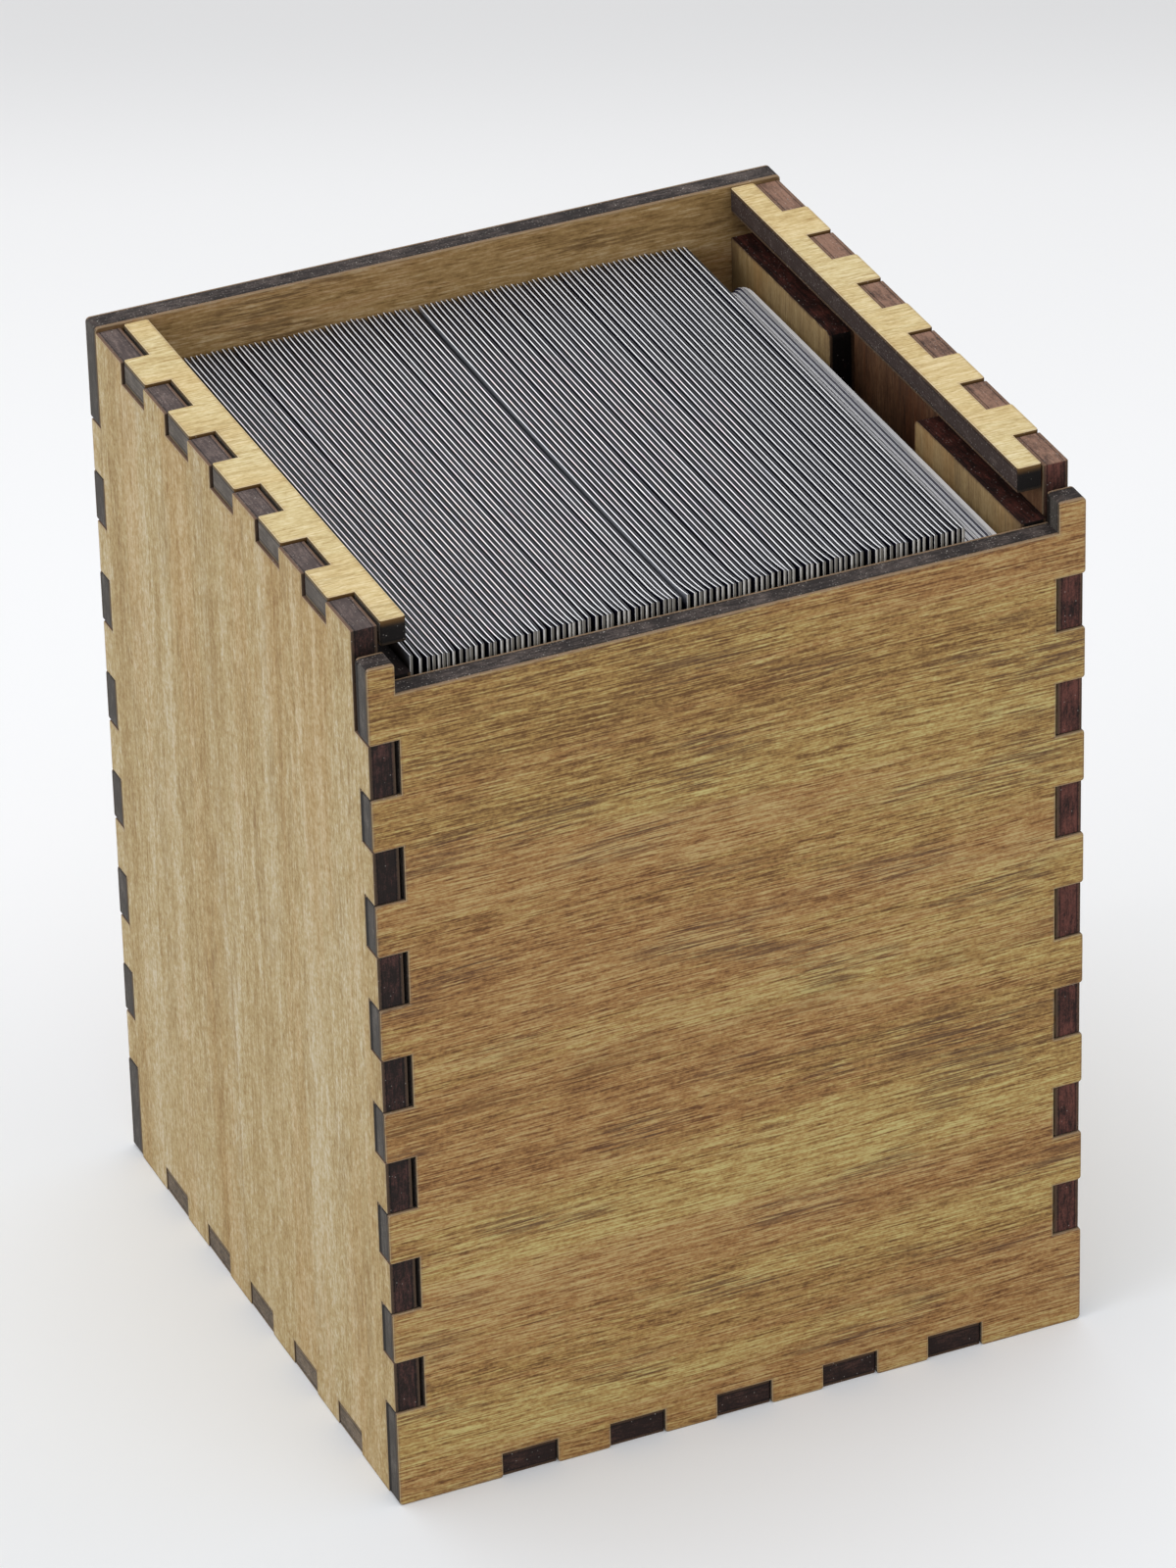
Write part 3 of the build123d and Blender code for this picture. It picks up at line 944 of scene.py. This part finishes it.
def sideways(distance, width, lean, bend, bunch):
    """How far a sleeve stands from a straight row, at one distance from its front end."""
    t = distance / width
    shift = lean[1] * (1 - t) + lean[2] * t
    shift += (lean[3] + bend[0]) * math.sin(math.pi * t) + bend[1] * math.sin(2 * math.pi * t)
    near_front, near_back = (max(0.0, 1 - reach / BUNCHED) ** BUNCH_FALL
                             for reach in (distance, width - distance))
    shift += (bunch[0] + lean[0]) * near_front + bunch[1] * near_back
    return shift


# %% [markdown]
# Sleeves and bare cards are both built ring by ring along their width, so one function joins the
# rings of both.

# %% A function that joins rings of points
def join_rings(work, rings, materials):
    """Join each ring of points to the next. The materials are those of its sides, in turn."""
    for ring, following in zip(rings, rings[1:]):
        for index, material in enumerate(materials):
            other = (index + 1) % len(ring)
            face = work.faces.new((ring[index], following[index], following[other], ring[other]))
            face.material_index = material


# %% [markdown]
# The mesh of a sleeve carries three values for its materials to read. `below` is the depth under the
# sleeve's top, in millimetres. `across` runs from 0 at its left to 1 at its right. `free` is 1 on a
# side that closes a deck, with no other sleeve against it.

# %% A function that builds one sleeve
SECTION = "abcdefgh"
FILM_EDGE, FILM_FOLD, FILM_INSIDE, CARD_EDGE, CARD_BACK, CARD_FACE, WELD = range(7)
SECTION_MATERIALS = (CARD_BACK, FILM_EDGE, FILM_INSIDE, CARD_EDGE, FILM_INSIDE, FILM_FOLD,
                     CARD_FACE, CARD_EDGE)
SECTION_ACROSS = dict(zip(SECTION, (0.0, 0.0, 0.35, 0.35, 1.0, 1.0, 1.0, 1.0)))
SLEEVE_VALUES = ("below", "across", "free")
FOLD_LOWER = 0.04 * MM       # the right film ends at least this far below the left one


def build_sleeve(work, left_x, thickness, front_y, width, bottom_z, height, lean, ends, chance):
    """Add one sleeve to a mesh. Lean is the shift in x of its front tip, its front, its back and its
    middle. Ends tell whether the sleeve is the first and whether it is the last of its deck."""
    rise, backs, bend, lift, bunch = sleeve_errors(left_x, ends, chance)
    below, across, free = (work.verts.layers.float[name] for name in SLEEVE_VALUES)
    slot_z = bottom_z + height - SLOT_DEEP
    rings = []
    for distance, share in stations(width):
        t = distance / width
        middle = left_x + thickness / 2 + sideways(distance, width, lean, bend, bunch)
        left_top = bottom_z + height + rise + lift[0] * math.sin(math.pi * 2 * t)
        right_top = left_top - FOLD_LOWER - abs(lift[1])
        points = section_of(middle, share, thickness, bottom_z, slot_z, left_top, right_top)
        y = front_y + backs[0] * (1 - t) + backs[1] * t + distance
        ring = []
        for letter in SECTION:
            x, z = points[letter]
            vert = work.verts.new((x, y, z))
            vert[below] = (left_top - z) / MM
            vert[across] = SECTION_ACROSS[letter]
            vert[free] = float(letter in "ab" and ends[0] or letter in "gh" and ends[1])
            ring.append(vert)
        rings.append(ring)
    join_rings(work, rings, SECTION_MATERIALS)
    for ring, order in ((rings[0], 1), (rings[-1], -1)):
        for letters in ("abcfgh", "cdef"):
            corners = [ring[SECTION.index(letter)] for letter in letters]
            work.faces.new(corners[::order]).material_index = WELD


# %% [markdown]
# ## What a sleeve shows
#
# The left film's cut edge is nearly white, because it pipes the light that falls on the sheet. The
# right film lies against the card and shows dark grey. The slot is painted black within a tenth of a
# millimetre of its top, as painted shade deep in the narrow slot, and the card's edge at its bottom is
# painted dark grey, as painted shade too. At the two ends the films are welded into a bar, bright at
# its left and greyer at its right. All of these are the same film, so one function makes them, with a
# colour that wavers between two and can turn into a third where the mesh's value says so.

# %% Make the films
FILM_WAVER = (0.30, 0.65)              # the noise where the film has its one colour and its other


def make_film(name, size, low_colour, high_colour, roughness=0.35, turning=None):
    """Plastic film whose brightness wavers along the sleeve. Turning is the name of a mesh value,
    the two levels between which the film turns another colour, and that colour."""
    material, tree, shader, place = start_material(name, Roughness=roughness)
    wave = cloud(tree, place, size, seed=2.0, detail=3.0, roughness=0.6)
    colour = mix_colours(tree, ramp(tree, wave, *FILM_WAVER), colour_of(*low_colour),
                         colour_of(*high_colour))
    if turning:
        value, start, full, other = turning
        changed = ramp(tree, attribute(tree, value), start, full)
        colour = mix_colours(tree, changed, colour, colour_of(*other))
    finish_material(tree, shader, colour, wave, depth_mm=0.02)
    print("film", name)
    return material


film_edge = make_film("sleeve film edge", (0.6, 8.0, 0.8), (233, 233, 238), (252, 252, 253))
film_fold = make_film("sleeve film fold", (0.09, 3.0, 0.3), (12, 13, 18), (55, 56, 63))
# below its top the film inside the slot is painted near black: painted shade deep in the narrow slot
film_inside = make_film("sleeve film inside", (0.5, 14.0, 0.25), (12, 13, 18), (38, 40, 47),
                        turning=("below", 0.01, 0.08, (8, 8, 13)))
# the card's edge at the bottom of the slot is painted dark grey: painted shade
card_edge = make_film("card edge in a sleeve, in painted shade", (0.1, 1.5, 0.1), (40, 40, 46), (84, 84, 90),
                      roughness=0.8)
weld = make_film("sleeve weld", (0.5, 0.5, 1.6), (206, 203, 196), (255, 254, 250),
                 turning=("across", 0.3, 0.9, (134, 131, 124)))

# %% [markdown]
# A printed side needs to know where the card's own edges are. The group `Card frame` measures the
# distance from the nearest edge of a rectangle and gives three masks: the card itself, a thin frame
# line inside it, and a diagonal lattice within the frame.

# %% Build the card frame group
card_group, takes, gives = new_group(
    "Card frame", {"vector": "Place", "value": "Centre Y, Centre Z, Half Width, Half Height"},
    {"value": "Card, Frame, Lattice"})
tree = card_group
FRAME_INSET = 3.0            # mm from the card's edge to its frame line
FRAME_WIDE = 0.6
LATTICE_INSET = 1.5          # mm from the frame line to the lattice
LATTICE_PITCH = 2.4
LATTICE_LINE = (0.22, 0.12)  # mm from a line's middle: nothing of the line, and all of it
axis = axes_of(tree, takes["Place"])
from_middle = [math_node(tree, "SUBTRACT", axis[Y], takes["Centre Y"]),
               math_node(tree, "SUBTRACT", axis[Z], takes["Centre Z"])]
edges = [math_node(tree, "SUBTRACT", takes[half], math_node(tree, "ABSOLUTE", distance))
         for half, distance in zip(("Half Width", "Half Height"), from_middle)]
nearest_edge = math_node(tree, "MINIMUM", *edges)
put(gives["Card"], ramp(tree, nearest_edge, -0.05, 0.05))
put(gives["Frame"], math_node(tree, "COMPARE", nearest_edge, FRAME_INSET, FRAME_WIDE / 2))
within = math_node(tree, "GREATER_THAN", nearest_edge, FRAME_INSET + LATTICE_INSET)
diagonals = [math_node(tree, "PINGPONG", math_node(tree, way, *from_middle), LATTICE_PITCH)
             for way in ("ADD", "SUBTRACT")]
lattice = ramp(tree, math_node(tree, "MINIMUM", *diagonals), *LATTICE_LINE)
put(gives["Lattice"], math_node(tree, "MULTIPLY", lattice, within))

# %% [markdown]
# The printed sides hardly show until a deck is lifted out. The backs are dark with a lattice and the
# faces pale and plain. Around the card there is only film. Between two sleeves hardly any light gets
# in, so there the film is painted dark at once, as painted shade. The sides that close a deck are
# painted paler, as more light reaches them, and their painted shade is full only a millimetre or so
# down. A clear coat on the material stands for the film over the card.

# %% A function that makes a printed side
# painted light: a side that closes a deck is paler, because more light reaches it
LIT_FREE_FILM = (148, 151, 158)            # where no other sleeve presses against it
# painted shade: the film between two sleeves darkens to this with depth
SHADE_BETWEEN_SLEEVES = (18, 18, 32)
FREE_SLOWING = -0.92                   # change in how fast the depth darkens a free side
DARK_DEPTH = (-0.05, 0.12)             # mm below the top: where darkening begins, and is complete
PRINT_MOTTLE_SIZE = (3.0, 3.0, 3.0)
RIPPLE_SIZE = (6.0, 9.0, 14.0)


def make_card_side(name, centre, half, field, frame_colour, lattice_colour, film=None, **sockets):
    """A card's printed side, seen through the film if a film colour is given."""
    material, tree, shader, place = start_material(name, Roughness=0.28, **sockets)
    masks = use_group(tree, card_group, {
        "Place": place, "Centre Y": centre[0], "Centre Z": centre[1],
        "Half Width": half[0], "Half Height": half[1]})
    mottle = cloud(tree, place, PRINT_MOTTLE_SIZE, seed=4.0, detail=3.0)
    colour = tint(tree, colour_of(*field), mottle, 0.25, colour_of(*frame_colour))
    colour = tint(tree, colour, masks["Lattice"], 0.5, colour_of(*lattice_colour))
    colour = mix_colours(tree, masks["Frame"], colour, colour_of(*frame_colour))
    if film:
        free = attribute(tree, "free")
        slower = math_node(tree, "MULTIPLY_ADD", free, FREE_SLOWING, 1.0)
        deep = math_node(tree, "MULTIPLY", attribute(tree, "below"), slower)
        margin = mix_colours(tree, free, colour_of(*film), colour_of(*LIT_FREE_FILM))
        margin = mix_colours(tree, ramp(tree, deep, *DARK_DEPTH), margin, colour_of(*SHADE_BETWEEN_SLEEVES))
        colour = mix_colours(tree, masks["Card"], margin, colour)
    ripple = cloud(tree, place, RIPPLE_SIZE, seed=5.0)
    finish_material(tree, shader, colour, ripple, depth_mm=0.12)
    print("printed side", name)
    return material


# %% [markdown]
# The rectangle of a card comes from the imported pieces. A sleeved card has the size of a bare one. It
# stands on the same floor, in the middle of its sleeve's width.

# %% Make the printed sides of the sleeved cards
NAVY, NAVY_FRAME, NAVY_LATTICE = (26, 24, 58), (150, 152, 178), (58, 58, 104)
PAPER, PAPER_FRAME = (214, 214, 218), (120, 122, 132)
SLEEVED_LOOK = {"film": (122, 125, 131), "Coat_Weight": 0.6, "Coat_Roughness": 0.08}
sleeve_low, sleeve_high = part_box("left_deck_cards_1")
bare_low, bare_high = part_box("bare_cards")
card_half = ((bare_high.y - bare_low.y) / 2 / MM, (bare_high.z - bare_low.z) / 2 / MM)
sleeved_centre = ((sleeve_low.y + sleeve_high.y) / 2 / MM, bare_low.z / MM + card_half[1])
sleeved_back = make_card_side("sleeved card back", sleeved_centre, card_half, NAVY, NAVY_FRAME,
                              NAVY_LATTICE, **SLEEVED_LOOK)
sleeved_face = make_card_side("sleeved card face", sleeved_centre, card_half, PAPER, PAPER_FRAME,
                              PAPER, **SLEEVED_LOOK)

# %% [markdown]
# ## The two sleeved decks
#
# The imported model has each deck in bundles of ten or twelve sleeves, and each bundle is replaced by
# one piece. A bundle's box gives the number of its sleeves and the thickness of one, so nothing has
# to be typed twice. Points that fall on each other in the closed ends are merged.

# %% A function that builds one bundle of sleeves
FILM_JOIN = 0.0005 * MM
sleeve_materials = [film_edge, film_fold, film_inside, card_edge, sleeved_back, sleeved_face, weld]


def build_bundle(node, first_index, deck_count, leans, loose, body):
    """The sleeves of one node, as one piece. Leans are those of the deck's first and last sleeve, and
    loose is how far its first sleeve leans out and stands up beyond that."""
    low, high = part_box(node)
    count = round((high.x - low.x) / SLEEVE_PITCH)
    thickness = high.x - low.x - (count - 1) * SLEEVE_PITCH
    chance = random.Random(node)
    work = bmesh.new()
    for name in SLEEVE_VALUES:
        work.verts.layers.float.new(name)
    for index in range(count):
        place = first_index + index
        share = place / (deck_count - 1)
        lean = [(first * (1 - share) + last * share) * MM for first, last in zip(*leans)]
        height = high.z - low.z
        if place == 0:
            lean[1] += loose[0] * MM
            height += loose[1] * MM
        build_sleeve(work, low.x + index * SLEEVE_PITCH, thickness, low.y, high.y - low.y,
                     low.z, height, lean, (place == 0, place == deck_count - 1), chance)
    bmesh.ops.remove_doubles(work, verts=work.verts, dist=FILM_JOIN)
    bmesh.ops.dissolve_degenerate(work, edges=work.edges, dist=FILM_JOIN)
    bmesh.ops.recalc_face_normals(work, faces=work.faces)
    piece = new_piece(node + "_sleeves", work, sleeve_materials)
    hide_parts(node)
    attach(piece, body)
    return count


# %% [markdown]
# The leans are how far the deck's first and last sleeve stand from a straight row, in millimetres:
# how far their front tips curl, their lean at the front and at the back, and how far their middles
# bow. The two decks lean against each other, so only a thin gap is left between them. The outermost
# sleeve in the box has come loose: it leans out to the wall and stands proud of its neighbours.

# %% Build the two decks
DECKS = {                    # bundles, leans of the first and of the last sleeve, loose first sleeve
    "left_deck": (4, (0.0, 0.35, 0.2, -0.05), (0.15, -0.1, 0.05, -0.3), (-0.45, 0.6)),
    "right_deck": (5, (0.25, -0.8, -0.5, -0.28), (0.0, -0.1, 0.06, -0.1), (0.0, 0.0)),
}
for deck, (bundles, first_lean, last_lean, loose) in DECKS.items():
    names = [f"{deck}_cards_{number + 1}" for number in range(bundles)]
    widths = [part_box(name)[1].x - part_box(name)[0].x for name in names]
    counts = [round(wide / SLEEVE_PITCH) for wide in widths]
    done = 0
    for name in names:
        done += build_bundle(name, done, sum(counts), (first_lean, last_lean), loose, deck)
    print(deck, done, "sleeves")

# %% [markdown]
# ## The bare cards
#
# The cards without sleeves stand lower, at the right-hand end. Each is a thin plate with rounded
# corners and a slight bow. It is built like a sleeve, from cross-sections along its width. Near the
# two ends the sections get shorter by the drop of the rounded corner.

# %% A function that divides a bare card into sections
CARD_CORNER = 3.0 * MM
CORNER_STEPS = 6
BOW_STEPS = 7


def card_sections(width):
    """Distances along a card, and how much its top and bottom are cut back there."""
    corner = []
    for step in range(CORNER_STEPS + 1):
        angle = math.pi / 2 * step / CORNER_STEPS
        corner.append((CARD_CORNER * (1 - math.cos(angle)), CARD_CORNER * (1 - math.sin(angle))))
    straight = width - 2 * CARD_CORNER
    middle = [(CARD_CORNER + straight * step / BOW_STEPS, 0.0) for step in range(1, BOW_STEPS)]
    return corner + middle + [(width - distance, drop) for distance, drop in reversed(corner)]


# %% [markdown]
# Each section is a thin upright rectangle of four points. The mesh carries `own`, a number for each
# card that makes one card paler than the next, and `across`, which is 0 on a card's left face and 1
# on its right face.

# %% A function that builds one bare card
CARD_THICK = 0.275 * MM
BARE_EDGE, BARE_BACK, BARE_FACE = range(3)
BARE_MATERIALS = (BARE_BACK, BARE_EDGE, BARE_FACE, BARE_EDGE)


def build_card(work, left_x, front_y, width, bottom_z, height, rise, chance):
    """Add one bare card to a mesh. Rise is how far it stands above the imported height."""
    own, across = work.verts.layers.float["own"], work.verts.layers.float["across"]
    shade = chance.random()
    back = slip(chance, 0.25)
    bow, twist = slip(chance, 0.03), slip(chance, 0.02)
    rings = []
    for distance, drop in card_sections(width):
        t = distance / width
        x = left_x + bow * math.sin(math.pi * t) + twist * (2 * t - 1)
        y = front_y + back + distance
        low_z, high_z = bottom_z + drop, bottom_z + height + rise - drop
        corners = ((x, low_z, 0.0), (x, high_z, 0.0),
                   (x + CARD_THICK, high_z, 1.0), (x + CARD_THICK, low_z, 1.0))
        ring = []
        for corner_x, corner_z, side in corners:
            vert = work.verts.new((corner_x, y, corner_z))
            vert[own], vert[across] = shade, side
            ring.append(vert)
        rings.append(ring)
    join_rings(work, rings, BARE_MATERIALS)
    for ring in (rings[0], rings[-1][::-1]):
        work.faces.new(ring).material_index = BARE_EDGE


# %% [markdown]
# Paper board has a pale skin on both faces and a greyer core, and cards differ a little in tone. So
# the edge's material mixes a core and a skin colour by `across`, and darkens or lightens both by
# `own`. The printed sides come from the same function as those of the sleeved cards, without film.

# %% Make the bare cards' materials
SKIN = (0.22, 0.36)                    # how far from the middle the core ends and the skin is full
PAPER_FIBRE = (0.08, 6.0, 0.3)
bare_edge, tree, shader, place = start_material("bare card edge", Roughness=0.7,
                                                Specular_IOR_Level=0.2)
beside_middle = math_node(tree, "SUBTRACT", attribute(tree, "across"), 0.5)
skin = ramp(tree, math_node(tree, "ABSOLUTE", beside_middle), *SKIN)
own = attribute(tree, "own")
core_colour = mix_colours(tree, own, colour_of(138, 138, 144), colour_of(242, 242, 244))
skin_colour = mix_colours(tree, own, colour_of(222, 222, 226), colour_of(255, 255, 255))
fibres = cloud(tree, place, PAPER_FIBRE, seed=3.0, detail=3.0, roughness=0.6)
colour = mix_colours(tree, skin, core_colour, skin_colour)
colour = tint(tree, colour, fibres, 0.18, colour_of(130, 128, 132))
finish_material(tree, shader, colour, fibres, depth_mm=0.02)
print("paper", bare_edge.name)

bare_centre = ((bare_low.y + bare_high.y) / 2 / MM, (bare_low.z + bare_high.z) / 2 / MM)
bare_back = make_card_side("bare card back", bare_centre, card_half, NAVY, NAVY_FRAME, NAVY_LATTICE)
bare_face = make_card_side("bare card face", bare_centre, card_half, PAPER, PAPER_FRAME, PAPER)

# %% [markdown]
# Every card ends at its own height. One card was pulled up a little and stands above the others.

# %% Build the bare cards
CARD_PITCH = 0.31 * MM
CARD_START = 0.02 * MM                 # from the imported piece's left side to the first card
RAISED_CARD = 12
RAISED_BY = 0.45 * MM
chance = random.Random("bare cards")
card_count = round((bare_high.x - bare_low.x) / CARD_PITCH)
work = bmesh.new()
for name in ("own", "across"):
    work.verts.layers.float.new(name)
for number in range(card_count):
    rise = RAISED_BY if number == RAISED_CARD else chance.uniform(-0.35, 0.15) * MM
    build_card(work, bare_low.x + number * CARD_PITCH + CARD_START, bare_low.y,
               bare_high.y - bare_low.y, bare_low.z, bare_high.z - bare_low.z, rise, chance)
bmesh.ops.recalc_face_normals(work, faces=work.faces)
bare_piece = new_piece("bare_cards_paper", work, [bare_edge, bare_back, bare_face])
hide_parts("bare_cards")
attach(bare_piece, "bare_deck")
print("bare cards", card_count)

# %% [markdown]
# ## Floor and light
#
# The box stands on a seamless white sheet in soft light. A large flat square is enough for it,
# because no edge or fold of the sheet comes near the box.

# %% Lay out the floor
FLOOR_HALF = 3.0
floor_mesh = bpy.data.meshes.new("floor")
corners = [(-FLOOR_HALF, -FLOOR_HALF, 0), (FLOOR_HALF, -FLOOR_HALF, 0),
           (FLOOR_HALF, FLOOR_HALF, 0), (-FLOOR_HALF, FLOOR_HALF, 0)]
floor_mesh.from_pydata(corners, [], [(0, 1, 2, 3)])
floor = bpy.data.objects.new("floor", floor_mesh)
bpy.context.scene.collection.objects.link(floor)
print("floor", 2 * FLOOR_HALF, "m wide")

# %% [markdown]
# The sheet is a plain diffuse surface. From near to far its white changes a little, in brightness
# and from bluish to warmer: painted light falloff, brightest a little behind the box and darker near
# and far, with a painted tint against the warm light that the wood bounces onto it. Places on it are
# measured in millimetres along two directions: away from the viewer and towards the right.

# %% Give the floor its white
AWAY = (0.394, 0.919, 0.0)
TO_THE_RIGHT = (0.919, -0.394, 0.0)
SWEEP_NEAR, SWEEP_FAR = -100.0, 340.0                  # between which the whites are spread
# painted light falloff: the sheet is brightest a little behind the box and darker near and far
WHITES = ((0.0, 0.79), (0.45, 1.0), (1.0, 0.655))      # the share of the way, and how bright
floor_material, tree, shader, place = start_material("white sheet", Roughness=0.9,
                                                     Specular_IOR_Level=0.1)
floor_mesh.materials.append(floor_material)
away, beside = (add(tree, "VectorMath", {0: place, 1: way}, operation="DOT_PRODUCT").outputs["Value"]
                for way in (AWAY, TO_THE_RIGHT))
sweep = add(tree, "MapRange", {"Value": away, "From Min": SWEEP_NEAR, "From Max": SWEEP_FAR})
shades = add(tree, "ValToRGB", {"Fac": sweep.outputs["Result"]})
shades.color_ramp.interpolation = "B_SPLINE"
shades.color_ramp.elements.new(WHITES[1][0])
for element, (where, level) in zip(shades.color_ramp.elements, WHITES):
    element.position = where
    element.color = (level * (0.965 + 0.035 * where), level * 0.99, level * (1.02 - 0.04 * where), 1.0)
put(shader.inputs["Base Color"], shades.outputs["Color"])
print("white sheet from", min(level for _, level in WHITES), "to", max(level for _, level in WHITES))

# %% [markdown]
# A faint glow is added for the camera's rays only. It brightens the sheet in the picture and puts no
# light on the box, and the shadow still shows. In front of the box it is weaker on the left and
# stronger on the right, and it ends far behind the box.

# %% Add the camera's glow
GLOW = 0.085
GLOW_LEFT, GLOW_SPREAD = -0.068, 0.10  # the change in front: at the left, and from there rightwards
IN_FRONT = (90.0, 10.0)                # mm away: where that change begins, and where it is full
LEFT_TO_RIGHT = (-70.0, 60.0)
GLOW_END = (295.0, 235.0)
in_front = ramp(tree, away, *IN_FRONT)
change = math_node(tree, "MULTIPLY_ADD", ramp(tree, beside, *LEFT_TO_RIGHT), GLOW_SPREAD, GLOW_LEFT)
glow = math_node(tree, "MULTIPLY_ADD", change, in_front, GLOW)
glow = math_node(tree, "MULTIPLY", glow, ramp(tree, away, *GLOW_END))
seen = add(tree, "LightPath").outputs["Is Camera Ray"]
put(shader.inputs["Emission Color"], (1.0, 1.0, 1.0, 1.0))
put(shader.inputs["Emission Strength"], math_node(tree, "MULTIPLY", glow, seen))
print("glow", GLOW, "of white")

# %% [markdown]
# One wide lamp hangs above and behind on the left, another stands to the left, a weaker one stands in
# front on the right, and a pale sky fills the rest. Wide lamps give soft shadows. They are set so
# that an upward face renders about as its colour is written, and the Standard view shows colours
# unchanged.

# %% Hang the sky and the lamps
world = bpy.data.worlds.new("studio")
bpy.context.scene.world = world
world.use_nodes = True
sky = world.node_tree.nodes["Background"]
sky.inputs["Color"].default_value = (0.97, 0.98, 1.0, 1.0)
sky.inputs["Strength"].default_value = 0.75


def add_lamp(name, place, target, size, watts):
    """A square area lamp that points at a target."""
    lamp = bpy.data.objects.new(name, bpy.data.lights.new(name, "AREA"))
    bpy.context.scene.collection.objects.link(lamp)
    lamp.data.shape, lamp.data.size, lamp.data.energy = "SQUARE", size, watts
    lamp.location = place
    lamp.rotation_euler = (Vector(target) - Vector(place)).to_track_quat("-Z", "Y").to_euler()
    print("lamp", name, watts, "W")


MIDDLE = (0.0, 0.0, 0.05)
add_lamp("overhead lamp", (-0.25, 0.25, 1.1), MIDDLE, size=0.9, watts=3.0)
add_lamp("left lamp", (-1.1, -0.15, 0.55), MIDDLE, size=0.7, watts=3.4)
add_lamp("front lamp", (0.5, -1.2, 0.6), MIDDLE, size=0.8, watts=1.2)
bpy.context.scene.view_settings.view_transform = "Standard"
